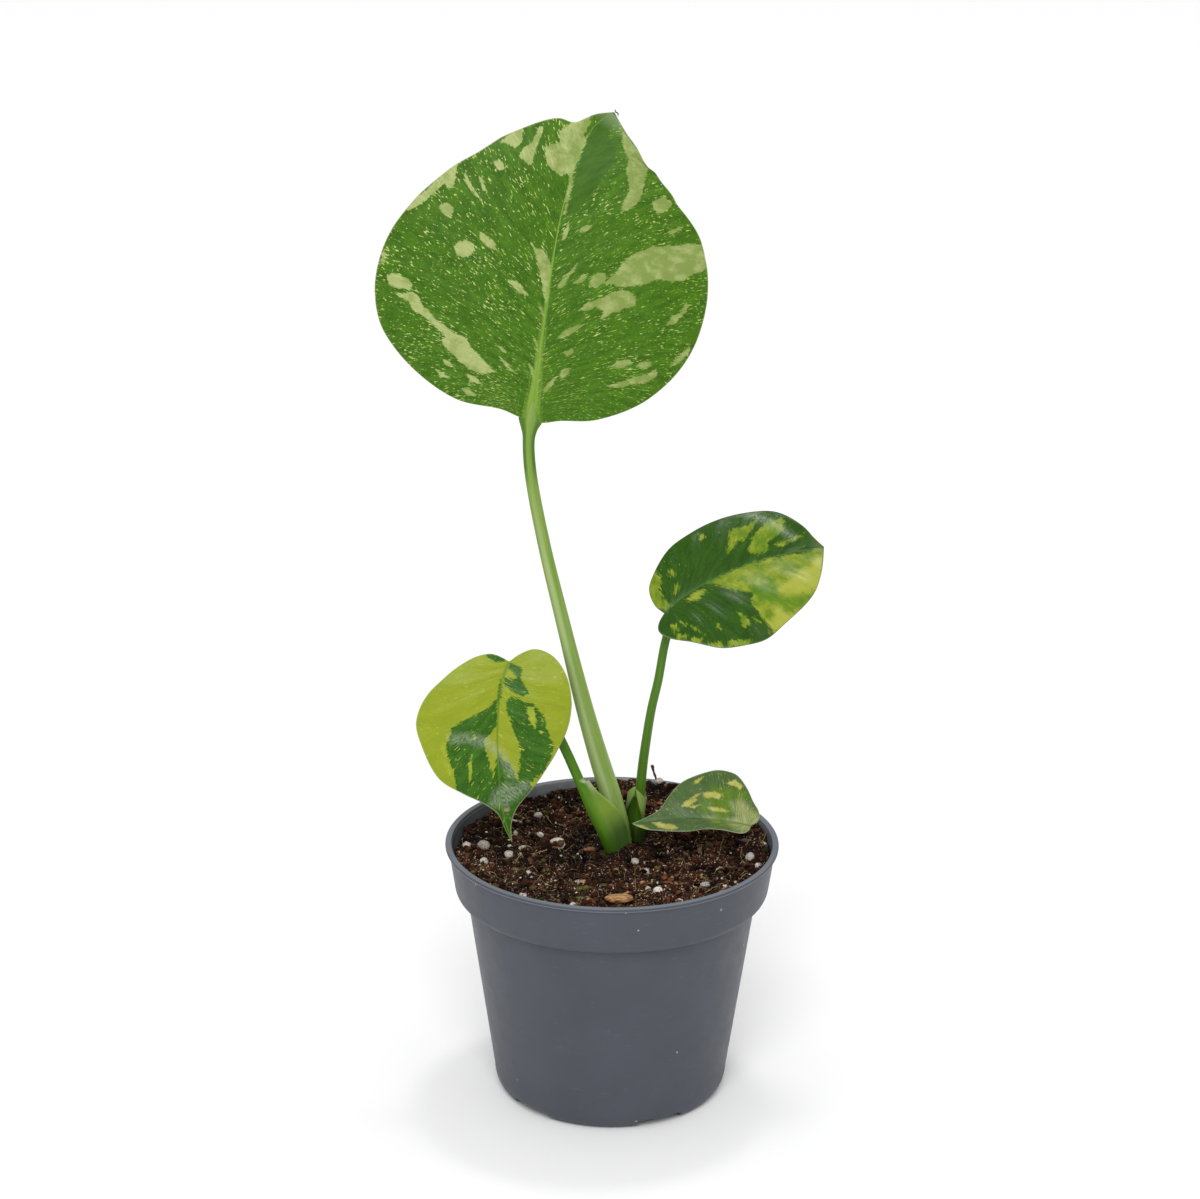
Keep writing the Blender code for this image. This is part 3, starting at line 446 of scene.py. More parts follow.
# Perlite is volcanic glass that is puffed by heat into white, rough, rounded grains. They lie half sunk
# in the peat, the bigger ones where the photograph shows them. Some are stained brown or green. Each
# grain has its place, its radius, and its stain: up to 1 for brown, down to -1 for green.
GRAINS = (
    (-0.0196, 0.0136, 0.0031, 0.10), (-0.0525, 0.0074, 0.0020, 0.30), (-0.0463, 0.0050, 0.0023, 0.55),
    (-0.0459, -0.0075, 0.0016, 0.20), (-0.0273, 0.0348, 0.0016, 0.25), (-0.0263, 0.0189, 0.0015, 0.05),
    (-0.0325, 0.0043, 0.0014, -0.6), (0.0083, -0.0060, 0.0018, 0.35), (-0.0136, -0.0422, 0.0014, 0.15),
    (0.0127, -0.0274, 0.0016, -0.3), (0.0238, -0.0391, 0.0015, 0.05), (0.0384, -0.0088, 0.0018, -0.8),
    (0.0330, -0.0228, 0.0016, 0.45), (0.0480, 0.0101, 0.0023, 0.95), (-0.0312, -0.0374, 0.0015, 0.30),
    (-0.0042, -0.0260, 0.0013, 0.30), (0.0162, -0.0291, 0.0016, 0.00), (0.0318, -0.0115, 0.0013, 0.40),
    (0.0548, 0.0066, 0.0014, -0.8), (0.0178, 0.0545, 0.0016, 0.35), (0.0520, -0.0129, 0.0014, 0.20),
    (-0.0330, 0.0010, 0.0012, -0.9), (-0.0370, 0.0090, 0.0010, 0.05), (-0.0345, 0.0085, 0.0009, 0.00),
    (-0.0120, -0.0230, 0.0015, 0.60), (0.0170, -0.0250, 0.0009, -0.8), (0.0200, -0.0300, 0.0010, -0.5))
GRAIN_SEED = 11
SMALL_GRAINS = 10
SMALL_GRAIN_SPREAD = 0.050
SMALL_GRAIN_CLEAR = 0.0045
BIGGEST_GRAINS = 15
CROWN_CLEAR = 0.019
DUST_GRAINS = 420
DUST_SPREAD = 0.0555
BARE_OVAL = 1.25
SMALLEST_DUST = 0.00018
DUST_RANGE = 0.0005
WAVE_COUNTS = np.array([1.6, 2.4, 3.4, 5.0, 7.0, 10.0])[None, :, None]
WAVE_SHARES = np.array([1.0, 0.8, 0.6, 0.45, 0.35, 0.25])[None, :, None]
FRONT_CHIP = (0.0024, -0.0419)
FRONT_CHIP_ROOM = 0.0050


def ball(subdivisions):
    """The corners and the triangles of a ball of radius 1."""
    work = bmesh.new()
    bmesh.ops.create_icosphere(work, subdivisions=subdivisions, radius=1.0)
    corners = np.array([vertex.co[:] for vertex in work.verts])
    triangles = np.array([[vertex.index for vertex in face.verts] for face in work.faces])
    work.free()
    return corners, triangles


def rough_balls(corners, places, radii, stretch, spin, roughness, seed):
    """A ball copied to each place: pushed in and out by six smooth waves from broad to fine, stretched,
    turned and scaled there."""
    draw = np.random.default_rng(seed)
    waves = draw.normal(0, 1, (len(places), 6, 3)) * WAVE_COUNTS
    phase = draw.uniform(0, 6.28, (len(places), 6, 1))
    push = np.sin(waves @ corners.T + phase) * WAVE_SHARES
    swollen = corners[None] * (1.0 + roughness * push.sum(axis=1))[..., None] * stretch[:, None]
    cos, sin = np.cos(spin)[:, None], np.sin(spin)[:, None]
    x = swollen[..., 0] * cos - swollen[..., 1] * sin
    y = swollen[..., 0] * sin + swollen[..., 1] * cos
    return places[:, None] + radii[:, None, None] * np.stack([x, y, swollen[..., 2]], axis=-1)


def many(points, triangles):
    """Copies of a shape stacked into one list of points and one of faces."""
    shift = np.arange(len(points))[:, None, None] * points.shape[1]
    return points.reshape(-1, 3), (triangles[None] + shift).reshape(-1, triangles.shape[1])


draw = np.random.default_rng(GRAIN_SEED)
taken = [(gx, gy, radius) for gx, gy, radius, _ in GRAINS[:BIGGEST_GRAINS]]
taken.append((*FRONT_CHIP, FRONT_CHIP_ROOM))
small = []
while len(small) < SMALL_GRAINS:
    gx, gy = draw.uniform(-SMALL_GRAIN_SPREAD, SMALL_GRAIN_SPREAD, 2)
    clear = all(np.hypot(gx - ax, gy - ay) > radius + SMALL_GRAIN_CLEAR for ax, ay, radius in taken)
    off_crown = np.hypot(gx - CROWN_CENTRE[0], gy - CROWN_CENTRE[1]) > CROWN_CLEAR
    if clear and off_crown and np.hypot(gx, gy) < SMALL_GRAIN_SPREAD:
        small.append((gx, gy, draw.uniform(0.0012, 0.0018), 0.3))
        taken.append(small[-1][:3])
spread = np.sqrt(draw.uniform(0.02, 1.0, DUST_GRAINS)) * DUST_SPREAD
turn = draw.uniform(0, 2 * np.pi, DUST_GRAINS)
dust_radius = SMALLEST_DUST + DUST_RANGE * draw.uniform(0, 1, DUST_GRAINS) ** 2
dust_stain = draw.uniform(-0.4, 0.1, DUST_GRAINS)
tiny = np.stack([spread * np.cos(turn), spread * np.sin(turn), dust_radius, dust_stain], axis=-1)
tiny = tiny[crown_distance(tiny[:, 0], tiny[:, 1]) > BARE_OVAL]
perlite_parts = []
for batch, detail, sink in ((np.array(GRAINS + tuple(small)), 4, 0.15), (tiny, 1, 0.0)):
    corners, triangles = ball(detail)
    count = len(batch)
    breadth = draw.uniform(0.6, 1.0, count)
    thickness = draw.uniform(0.6, 0.9, count)
    stretch = np.stack([np.ones(count), breadth, thickness], axis=-1)
    level = peat_height(batch[:, 0], batch[:, 1])
    places = np.stack([batch[:, 0], batch[:, 1], level + sink * batch[:, 2]], axis=-1)
    spun = draw.uniform(0, np.pi, count)
    balls = rough_balls(corners, places, batch[:, 2], stretch, spun, roughness=0.075, seed=detail)
    points, faces = many(balls, triangles)
    perlite_parts.append((points, faces, np.repeat(batch[:, 3], len(corners))))
first_points, second_points = perlite_parts[0][0], perlite_parts[1][0]
perlite = new_piece("perlite_grains", np.vstack([first_points, second_points]),
                    np.vstack([perlite_parts[0][1], perlite_parts[1][1] + len(first_points)]).tolist(),
                    {"stain": np.r_[perlite_parts[0][2], perlite_parts[1][2]]})

# Puffed perlite: chalk white, with pits of under a millimetre, and stained by peat water or algae.
perlite_material, put, surface = new_material("puffed_perlite")
spot = put("TexCoord", out="Object")
pits = put("TexNoise", {"Vector": spot, "Scale": METRE / 0.714, "Detail": 4.0, "Roughness": 0.7})
stain = put("Attribute", out="Fac", attribute_name="stain")
brown = put("MapRange", (stain, 0.0, 1.0, 0.0, 1.0))
green = put("MapRange", (stain, 0.0, -1.0, 0.0, 0.8))
tone = put("Mix", (brown, "e4dfd6", "5e4a40"), data_type="RGBA")
tone = put("Mix", (green, tone, "94a05c"), data_type="RGBA")
dirt = put("MapRange", (pits, 0.36, 0.54, 0.85, 0.0))
tone = put("Mix", (dirt, tone, "5b4334"), data_type="RGBA")
bump = put("Bump", {"Strength": 0.7, "Distance": 0.0003, "Height": pits})
feed(surface, {"Base Color": tone, "Roughness": 0.9, "Normal": bump})
settle(perlite, perlite_material, "soil")

# Loose crumbs of peat and bits of bark and moss lie on the peat, sunk a little into it. Each is a rough
# ball, and most are under a millimetre. They are moist and dull, pale where they are bark, and painted
# shade darkens those in the hollows.
CRUMBS = 3000
CRUMB_SPREAD = 0.0560
SMALLEST_CRUMB = 0.00030
CRUMB_RANGE = 0.0014
corners, triangles = ball(1)
spread = np.sqrt(draw.uniform(0.0, 1.0, CRUMBS)) * CRUMB_SPREAD
turn = draw.uniform(0, 2 * np.pi, CRUMBS)
x, y = spread * np.cos(turn), spread * np.sin(turn)
keep = crown_distance(x, y) > 1.0
x, y, count = x[keep], y[keep], int(keep.sum())
radii = SMALLEST_CRUMB + CRUMB_RANGE * draw.uniform(0, 1, count) ** 2.4
breadth = draw.uniform(0.5, 1.0, count)
thickness = draw.uniform(0.35, 0.8, count)
stretch = np.stack([np.ones(count), breadth, thickness], axis=-1)
places = np.stack([x, y, peat_height(x, y) + 0.25 * radii], axis=-1)
spun = draw.uniform(0, np.pi, count)
crumb_balls = rough_balls(corners, places, radii, stretch, spun, roughness=0.20, seed=21)
crumb_points, crumb_faces = many(crumb_balls, triangles)
crumb_tone = np.repeat(draw.uniform(0, 1, count), len(corners))
crumb_relief = np.repeat(clods(x, y) / RELIEF_UNIT, len(corners))
moss_chance = 0.03 + 0.10 * (x < -0.01) * (y < -0.01)
mossy = np.repeat((draw.uniform(0, 1, count) < moss_chance) * 1.0, len(corners))
crumbs = new_piece("peat_crumbs", crumb_points, crumb_faces.tolist(),
                   {"tone": crumb_tone, "moss": mossy, "relief": crumb_relief}, sharp=60.0)
crumb_material, put, surface = new_material("peat_and_bark_crumbs")
spot = put("TexCoord", out="Object")
tone_share = put("Attribute", out="Fac", attribute_name="tone")
moss_share = put("Attribute", out="Fac", attribute_name="moss")
fine = put("TexNoise", {"Vector": spot, "Scale": METRE / 0.833, "Detail": 4.0})
dark = put("Mix", (tone_share, "130906", "70402a"), data_type="RGBA")
light = put("MapRange", (tone_share, 0.84, 0.96, 0.0, 1.0))
tone = put("Mix", (light, dark, "a8825c"), data_type="RGBA")
tone = put("Mix", (moss_share, tone, "56592a"), data_type="RGBA")
shade = put("MapRange", (fine, 0.35, 0.65, 0.55, 1.15))
# Painted shade darkens the crumbs near the stalks and in the hollows.
shade = put("Math", (shade, dryness_and_shade(put, spot, 0.28, 1.20)), operation="MULTIPLY")
relief = put("Attribute", out="Fac", attribute_name="relief")
hollow_shade = put("MapRange", (relief, -0.50, 0.25, 0.12, 1.0))
shade = put("Math", (shade, hollow_shade), operation="MULTIPLY")
tone = put("VectorMath", (tone, shade), operation="SCALE")
feed(surface, {"Base Color": tone, "Roughness": 0.9, "Specular IOR Level": 0.12})
settle(crumbs, crumb_material, "soil")

# Four flat chips of pine bark lie loose on the peat, the biggest at the front wall. Bark is layered cork,
# so it is marked by thin bands. Each chip has its place, how far its middle stands over the peat, its
# half length, its breadth and thickness as shares of that, its turn, and how pale it is.
CHIPS = np.array(((*FRONT_CHIP, 0.0008, 0.0052, 0.52, 0.30, 0.05, 1.00),
                  (-0.0082, 0.0080, 0.0003, 0.0021, 0.70, 0.35, 0.30, 0.25),
                  (-0.0005, -0.0240, 0.0002, 0.0016, 0.60, 0.50, 1.10, 0.45),
                  (0.0390, -0.0330, 0.0002, 0.0019, 0.55, 0.40, 0.50, 0.60)))
corners, triangles = ball(4)
x, y, lift, half_length, breadth, thickness, spun, paleness = CHIPS.T
chip_places = np.stack([x, y, peat_height(x, y) + lift], axis=-1)
stretch = np.stack([np.ones(len(CHIPS)), breadth, thickness], axis=-1)
chip_balls = rough_balls(corners, chip_places, half_length, stretch, spun, roughness=0.05, seed=31)
points, faces = many(chip_balls, triangles)
chips = new_piece("bark_chips", points, faces.tolist(), {"tone": np.repeat(paleness, len(corners))})
bark_material, put, surface = new_material("pine_bark")
spot = put("TexCoord", out="Object")
layered = put("Mapping", {"Vector": spot, "Scale": (METRE / 2.86, METRE / 0.909, METRE / 0.625)})
layers = put("TexNoise", {"Vector": layered, "Scale": 1.0, "Detail": 5.0, "Roughness": 0.65})
tone_share = put("Attribute", out="Fac", attribute_name="tone")
pale = put("Mix", (tone_share, "6b3a22", "b98c58"), data_type="RGBA")
dirt = put("MapRange", (layers, 0.38, 0.58, 0.85, 0.0))
tone = put("Mix", (dirt, pale, "4a2f1e"), data_type="RGBA")
bump = put("Bump", {"Strength": 0.8, "Distance": 0.0004, "Height": layers})
feed(surface, {"Base Color": tone, "Roughness": 0.8, "Normal": bump})
settle(chips, bark_material, "soil")

# Coir is the fibre of coconut husk. Each is a thin strand that starts in the peat, arches a little over it
# and goes back in. They are drawn a little thicker than the real ones, or they wouldn't show.
FIBRES = 1100
FIBRE_STEPS = 9
FIBRE_FIELD = 0.055
FIBRE_SPREAD = 0.0535
FIBRE_LENGTHS = (0.002, 0.009)
FIBRE_ARCHES = (0.0001, 0.0011)
FIBRE_RADII = (0.00005, 0.00012)
FIBRE_LIMIT = 0.0563


def strands(paths, radii):
    """Three-sided tubes round many paths at once, each drawn out to nothing at both ends."""
    count, steps = paths.shape[:2]
    ahead = unit(np.gradient(paths, axis=1))
    side = unit(np.cross(ahead, (0.0, 0.0, 1.0)) + (0.0, 0.0, 1e-4))
    over = np.cross(side, ahead)
    taper = np.sin(np.pi * (0.04 + 0.92 * np.arange(steps) / (steps - 1))) ** 0.35
    reach = radii[:, None, None, None] * taper[None, :, None, None]
    turn = np.radians([90.0, 210.0, 330.0])[None, None, :, None]
    rings = paths[:, :, None] + reach * (np.cos(turn) * side[:, :, None] + np.sin(turn) * over[:, :, None])
    number = np.arange(steps * 3).reshape(steps, 3)
    faces = ring_faces(steps, 3) + [number[0].tolist(), number[-1].tolist()]
    shifted = [[corner + shift for corner in face] for shift in range(0, count * steps * 3, steps * 3)
               for face in faces]
    return rings.reshape(-1, 3), shifted


start = draw.uniform(-FIBRE_FIELD, FIBRE_FIELD, (FIBRES * 2, 2))
start = start[(np.hypot(*start.T) < FIBRE_SPREAD) & (crown_distance(*start.T) > BARE_OVAL)][:FIBRES]
count = len(start)
heading = draw.uniform(0, 2 * np.pi, count)[:, None]
length = draw.uniform(*FIBRE_LENGTHS, count)[:, None]
bend = draw.normal(0, 1.6, count)[:, None]
share = np.linspace(0, 1, FIBRE_STEPS)[None]
angle = heading + bend * (share - 0.5)
x = start[:, :1] + np.cumsum(np.cos(angle), axis=1) * length / FIBRE_STEPS
y = start[:, 1:] + np.cumsum(np.sin(angle), axis=1) * length / FIBRE_STEPS
out = np.maximum(np.hypot(x, y) / FIBRE_LIMIT, 1.0)
x, y = x / out, y / out
arch = draw.uniform(*FIBRE_ARCHES, count)[:, None] * 4 * share * (1 - share)
fibre_paths = np.stack([x, y, peat_height(x, y) + arch + 0.00005], axis=-1)
points, faces = strands(fibre_paths, draw.uniform(*FIBRE_RADII, count))
fibre_tone = np.repeat(draw.uniform(0, 1, count), FIBRE_STEPS * 3)
fibres = new_piece("coir_fibres", points, faces, {"tone": fibre_tone})
fibre_material, put, surface = new_material("coir_fibre")
tone_share = put("Attribute", out="Fac", attribute_name="tone")
pale_share = put("Math", (tone_share, 4.0), operation="POWER")
spot = put("TexCoord", out="Object")
along = put("TexNoise", {"Vector": spot, "Scale": METRE / 1.43, "Detail": 2.0})
tone = put("Mix", (pale_share, "3a2317", "c0a676"), data_type="RGBA")
shade = put("MapRange", (along, 0.3, 0.7, 0.6, 1.1))
tone = put("VectorMath", (tone, shade), operation="SCALE")
feed(surface, {"Base Color": tone, "Roughness": 0.7, "Specular IOR Level": 0.15})
settle(fibres, fibre_material, "soil")

# Six longer dead roots lie loose on the peat where the photograph shows them. They are pale, dry strands
# of a third of a millimetre. Each has four places that draw its curve, and how high its middle arches.
ROOT_LINES = (((0.0083, -0.0070), (0.0079, -0.0200), (0.0086, -0.0300), (0.0082, -0.0430), 0.0006),
              ((0.0575, 0.0145), (0.0562, 0.0110), (0.0550, 0.0070), (0.0540, 0.0035), 0.0016),
              ((0.0410, 0.0150), (0.0402, 0.0090), (0.0390, 0.0040), (0.0383, 0.0000), 0.0012),
              ((0.0311, -0.0236), (0.0308, -0.0320), (0.0290, -0.0400), (0.0255, -0.0455), 0.0010),
              ((-0.0300, 0.0035), (-0.0255, 0.0052), (-0.0205, 0.0058), (-0.0150, 0.0075), 0.0007),
              ((0.0300, -0.0330), (0.0335, -0.0290), (0.0375, -0.0270), (0.0410, -0.0262), 0.0009))
ROOT_STEPS = 24
ROOT_RADIUS = 0.00017
share = np.linspace(0, 1, ROOT_STEPS)[:, None]
root_paths = []
for *knots, lift in ROOT_LINES:
    a, b, c, d = np.array(knots)
    line = ((1 - share) ** 3 * a + 3 * share * (1 - share) ** 2 * b + 3 * share ** 2 * (1 - share) * c
            + share ** 3 * d)
    height = peat_height(*line.T)
    smooth = np.convolve(np.pad(height, 4, mode="edge"), np.ones(9) / 9, mode="valid")
    root_paths.append(np.c_[line, np.maximum(smooth, height) + lift * np.sin(np.pi * share[:, 0]) + 0.0001])
points, faces = strands(np.array(root_paths), np.full(len(root_paths), ROOT_RADIUS))
roots = new_piece("dead_roots", points, faces, {"tone": np.full(len(points), 0.85)})
settle(roots, fibre_material, "soil")

# A dry twig stands in the peat at the back wall. It is a thin stick with dark grey-brown bark, a little
# bent, with a small knob near its top.
TWIG_FOOT = np.array((0.0174, 0.0545, 0.0905))
TWIG_TOP = np.array((0.0155, 0.0560, 0.1012))
TWIG_RINGS = 40
TWIG_SIDES = 14
share = np.linspace(0, 1, TWIG_RINGS)[:, None]
twig_bend = np.c_[0.0004 * np.sin(5 * share), 0 * share, 0 * share]
twig_path = TWIG_FOOT + (TWIG_TOP - TWIG_FOOT) * share + twig_bend
knob = 0.00035 * np.exp(-((share - 0.96) / 0.05) ** 2) + 0.00008 * np.sin(31 * share)
twig_radius = 0.00052 * (1 - 0.2 * share) + knob
turn = np.linspace(0, 2 * np.pi, TWIG_SIDES, endpoint=False)[None]
twig_rings = twig_path[:, None] + around(twig_radius, turn, 0.0)
points = np.vstack([twig_rings.reshape(-1, 3), [twig_path[0], twig_path[-1] + (0, 0, 0.0003)]])
axis_point = TWIG_RINGS * TWIG_SIDES
twig = new_piece("dry_twig", points, ring_faces(TWIG_RINGS, TWIG_SIDES, axis_point, axis_point + 1))
twig_material, put, surface = new_material("dry_twig_bark")
spot = put("TexCoord", out="Object")
bark = put("TexNoise", {"Vector": spot, "Scale": METRE / 0.667, "Detail": 3.0})
tone = put("Mix", (bark, "1e1613", "54453c"), data_type="RGBA")
feed(surface, {"Base Color": tone, "Roughness": 0.8})
settle(twig, twig_material, "soil")


# The crown is the short buried stem that every stalk grows from. Its skin is olive green and lies under
# the crumbs, so the solid itself stays and only gets its material.
crown_material, put, surface = new_material("buried_stem_skin")
spot = put("TexCoord", out="Object")
mottle = put("TexNoise", {"Vector": spot, "Scale": METRE / 2.5, "Detail": 4.0})
tone = put("Mix", (mottle, "3d3a1c", "5f6b2c"), data_type="RGBA")
feed(surface, {"Base Color": tone, "Roughness": 0.7})
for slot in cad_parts["crown"].material_slots:
    slot.material = crown_material


# The leaf blades are thin, waxy and slightly cupped. The variegation goes right through them: patches
# without chlorophyll are cream or yellow, with ragged edges that follow the side veins. Each half blade
# rises from the midrib at the fold's angle and bends down evenly, and its side veins run out to the
# margin in long curves. "across" and "face" are the ways to the right half and to the upper side, and
# "steady" is how far the lines across keep to one direction. "rib" is how far the rib stands out above
# and below, and its width. "rib_band" is the half width of its pale band, and how fast that narrows.
# "left" and "right" are the margins, in shares of the midrib along and across it. "crop" is the corner of
# the enlarged part of the picture in which the marks were outlined, and how much it was enlarged.
LEAVES = {
    "tall_leaf": {
        "midrib": ((-0.0295, 0.018, 0.247), (-0.025, 0.023, 0.2815), (-0.020, 0.031, 0.3135),
                   (-0.0145, 0.038, 0.333), (-0.009, 0.045, 0.344), (-0.001, 0.052, 0.349)),
        "across": (0.985, 0.05, -0.17), "face": (0.0, -0.94, 0.33), "steady": 0.0, "fold": 8.0,
        "curl": 467.0, "rib": (0.0003, 0.0011, 0.0024), "grid": (250, 72), "veins": 11, "sweep": 0.035,
        "rib_band": (0.0030, 4.6), "crop": (370, 90, 4.356),
        "left": ((0, 0), (0.004, 0.035), (0.022, 0.095), (0.034, 0.223), (0.081, 0.329), (0.156, 0.431),
                 (0.234, 0.495), (0.351, 0.524), (0.496, 0.496), (0.664, 0.363), (0.730, 0.284),
                 (0.808, 0.202), (0.876, 0.103), (0.890, 0.052), (0.957, 0.022), (1, 0)),
        "right": ((0, 0), (-0.006, 0.032), (0.007, 0.088), (0.023, 0.196), (0.100, 0.344), (0.238, 0.453),
                  (0.433, 0.491), (0.656, 0.433), (0.784, 0.318), (0.834, 0.254), (0.905, 0.212),
                  (0.950, 0.155), (0.970, 0.085), (1, 0)),
    },
    "right_leaf": {
        "midrib": ((0.018, 0.008, 0.179), (0.025, 0.012, 0.1838), (0.034, 0.0163, 0.1882),
                   (0.045, 0.0204, 0.1919), (0.059, 0.0242, 0.1953), (0.075, 0.026, 0.198)),
        "across": (-0.106, -0.793, -0.6), "face": (-0.19, -0.58, 0.80), "steady": 0.7, "fold": 12.0,
        "curl": 867.0, "rib": (-0.0002, 0.0008, 0.0012), "grid": (190, 56), "veins": 8, "sweep": 0.04,
        "rib_band": (0.0004, 1.0), "crop": (640, 500, 7.84),
        "left": ((0, 0), (-0.023, 0.070), (0.001, 0.170), (0.090, 0.239), (0.219, 0.306), (0.353, 0.330),
                 (0.496, 0.345), (0.634, 0.339), (0.807, 0.300), (0.872, 0.251), (0.941, 0.147),
                 (0.968, 0.069), (1, 0)),
        "right": ((0, 0), (-0.046, 0.017), (-0.086, 0.056), (-0.090, 0.097), (-0.063, 0.162), (0.014, 0.259),
                  (0.150, 0.409), (0.308, 0.476), (0.439, 0.493), (0.594, 0.441), (0.757, 0.365),
                  (0.842, 0.296), (0.926, 0.171), (1, 0)),
    },
    "left_leaf": {
        "midrib": ((-0.037, 0.006, 0.161), (-0.040, 0.0015, 0.152), (-0.041, -0.003, 0.138),
                   (-0.0405, -0.007, 0.124), (-0.039, -0.010, 0.1105), (-0.0355, -0.012, 0.0985)),
        "across": (1.0, 0.05, 0.05), "face": (-0.05, -0.9, 0.4), "steady": 0.0, "fold": 10.0, "curl": 800.0,
        "rib": (-0.0001, 0.0008, 0.0011), "grid": (190, 56), "veins": 8, "sweep": 0.03,
        "rib_band": (0.0004, 1.0), "crop": (400, 590, 5.806),
        "left": ((0, 0), (-0.006, 0.040), (-0.005, 0.101), (0.031, 0.167), (0.089, 0.234), (0.155, 0.309),
                 (0.215, 0.378), (0.280, 0.421), (0.360, 0.439), (0.458, 0.406), (0.620, 0.317),
                 (0.700, 0.196), (0.755, 0.100), (0.825, 0.030), (0.920, 0.013), (1, 0)),
        "right": ((0, 0), (-0.066, 0.048), (-0.110, 0.107), (-0.113, 0.192), (-0.066, 0.283),
                  (0.045, 0.369), (0.265, 0.392), (0.384, 0.369), (0.523, 0.307), (0.642, 0.226),
                  (0.729, 0.154), (0.821, 0.071), (0.899, 0.026), (1, 0)),
    },
    "low_leaf": {
        "midrib": ((0.050, 0.004, 0.099), (0.0395, 0.004, 0.101), (0.0285, 0.004, 0.102),
                   (0.0175, 0.003, 0.1015), (0.012, 0.002, 0.101), (0.007, 0.001, 0.101)),
        "across": (0.0, -0.87, -0.5), "face": (0.0, -0.5, 0.87), "steady": 0.0, "fold": 20.0, "curl": 733.0,
        "rib": (-0.0001, 0.0006, 0.0010), "grid": (150, 44), "veins": 6, "sweep": 0.02,
        "rib_band": (0.0003, 1.0), "crop": (610, 750, 9.8),
        "left": ((0, 0), (-0.056, 0.060), (-0.053, 0.132), (0.009, 0.220), (0.074, 0.330), (0.165, 0.437),
                 (0.244, 0.460), (0.330, 0.455), (0.464, 0.386), (0.571, 0.309), (0.673, 0.190),
                 (0.757, 0.090), (0.880, 0.040), (1, 0)),
        "right": ((0, 0), (0.020, 0.080), (0.070, 0.132), (0.150, 0.140), (0.245, 0.132), (0.388, 0.149),
                  (0.530, 0.186), (0.743, 0.158), (0.871, 0.111), (0.952, 0.053), (1, 0)),
    },
}
BLADE_HALF_THICKNESS = 0.00028
VEIN_DEPTH = 0.00006
EDGE_ROUNDING = 0.0006
RIPPLE_HEIGHT = 0.00012
CAMERA_AIM = np.array((-0.0049, 0.0, 0.1867))
CAMERA_DISTANCE = 1.170
CAMERA_PITCH = 19.36
CAMERA_ROLL = 0.374
CAMERA_LENS = 100.0
CAMERA_SENSOR = 36.0
PICTURE_WIDTH = 1200
PICTURE_HEIGHT = 1199


def camera_axes():
    """The camera's place, and the ways to the right, up and ahead as it sees them."""
    pitch, roll = np.radians(CAMERA_PITCH), np.radians(CAMERA_ROLL)
    ahead = np.array((0.0, np.cos(pitch), -np.sin(pitch)))
    level_up = np.array((0.0, np.sin(pitch), np.cos(pitch)))
    level_right = np.array((1.0, 0.0, 0.0))
    right = level_right * np.cos(roll) + level_up * np.sin(roll)
    up = level_up * np.cos(roll) - level_right * np.sin(roll)
    return CAMERA_AIM - CAMERA_DISTANCE * ahead, right, up, ahead


def seen_at(points):
    """The pixel of the picture where each point shows: its side and height over its depth."""
    place, right, up, ahead = camera_axes()
    away = points - place
    scale = CAMERA_LENS / CAMERA_SENSOR * PICTURE_WIDTH / (away @ ahead)
    return np.stack([PICTURE_WIDTH / 2 + scale * (away @ right),
                     PICTURE_HEIGHT / 2 - scale * (away @ up)], axis=-1)


def depth_inside(spots, outline):
    """How many pixels each spot lies inside a closed outline, less than zero outside: the distance to its
    nearest side, with the sign from how many sides a level line from the spot crosses."""
    start = outline
    step = np.roll(start, -1, axis=0) - start
    away = spots[:, None] - start[None]
    share = np.clip((away * step).sum(axis=-1) / (step ** 2).sum(axis=-1), 0.0, 1.0)
    distance = np.linalg.norm(away - share[..., None] * step, axis=-1).min(axis=1)
    above = away[..., 1] < 0
    above_next = np.roll(above, -1, axis=1)
    reach = start[:, 0] + away[..., 1] * step[:, 0] / np.where(step[:, 1] == 0, 1e-9, step[:, 1])
    crossed = (above != above_next) & (spots[:, :1] < reach)
    return np.where(crossed.sum(axis=1) % 2 == 1, distance, -distance)


def marked(spots, crop, outlines, limit=10.0):
    """The deepest that each spot lies in any of the outlines. They were read off an enlarged part of the
    picture, so they are shrunk and moved back to the picture's own pixels."""
    left, top, enlarged = crop
    depth = np.full(len(spots), -limit)
    for outline in outlines:
        corners = np.array(outline, float).reshape(-1, 2) / enlarged + (left, top)
        depth = np.maximum(depth, depth_inside(spots, corners))
    return np.clip(depth, -limit, limit)


def smooth_path(points, count=300):
    """A curve through the points, as cubic pieces whose slope at a point is the mean of its
    neighbours'."""
    points = np.array(points, float)
    knots = np.r_[0.0, np.cumsum(np.sqrt(np.linalg.norm(np.diff(points, axis=0), axis=1)))]
    steps = np.diff(knots)[:, None]
    chords = np.diff(points, axis=0) / steps
    slopes = np.empty_like(points)
    slopes[1:-1] = (chords[:-1] * steps[1:] + chords[1:] * steps[:-1]) / (steps[1:] + steps[:-1])
    slopes[0] = (3 * chords[0] - slopes[1]) / 2
    slopes[-1] = (3 * chords[-1] - slopes[-2]) / 2
    where = np.linspace(0.0, knots[-1], count)
    piece = np.clip(np.searchsorted(knots, where, side="right") - 1, 0, len(points) - 2)
    step = steps[piece]
    t = (where - knots[piece])[:, None] / step
    return ((2 * t**3 - 3 * t**2 + 1) * points[piece] + (t**3 - 2 * t**2 + t) * step * slopes[piece]
            + (3 * t**2 - 2 * t**3) * points[piece + 1] + (t**3 - t**2) * step * slopes[piece + 1])


def length_along(path):
    """The distance travelled at each point of a path."""
    return np.r_[0.0, np.cumsum(np.linalg.norm(np.diff(path, axis=0), axis=1))]


def read_path(path, lengths, values):
    """A path's columns read at the wanted lengths."""
    return np.stack([np.interp(values, lengths, column) for column in path.T], axis=-1)


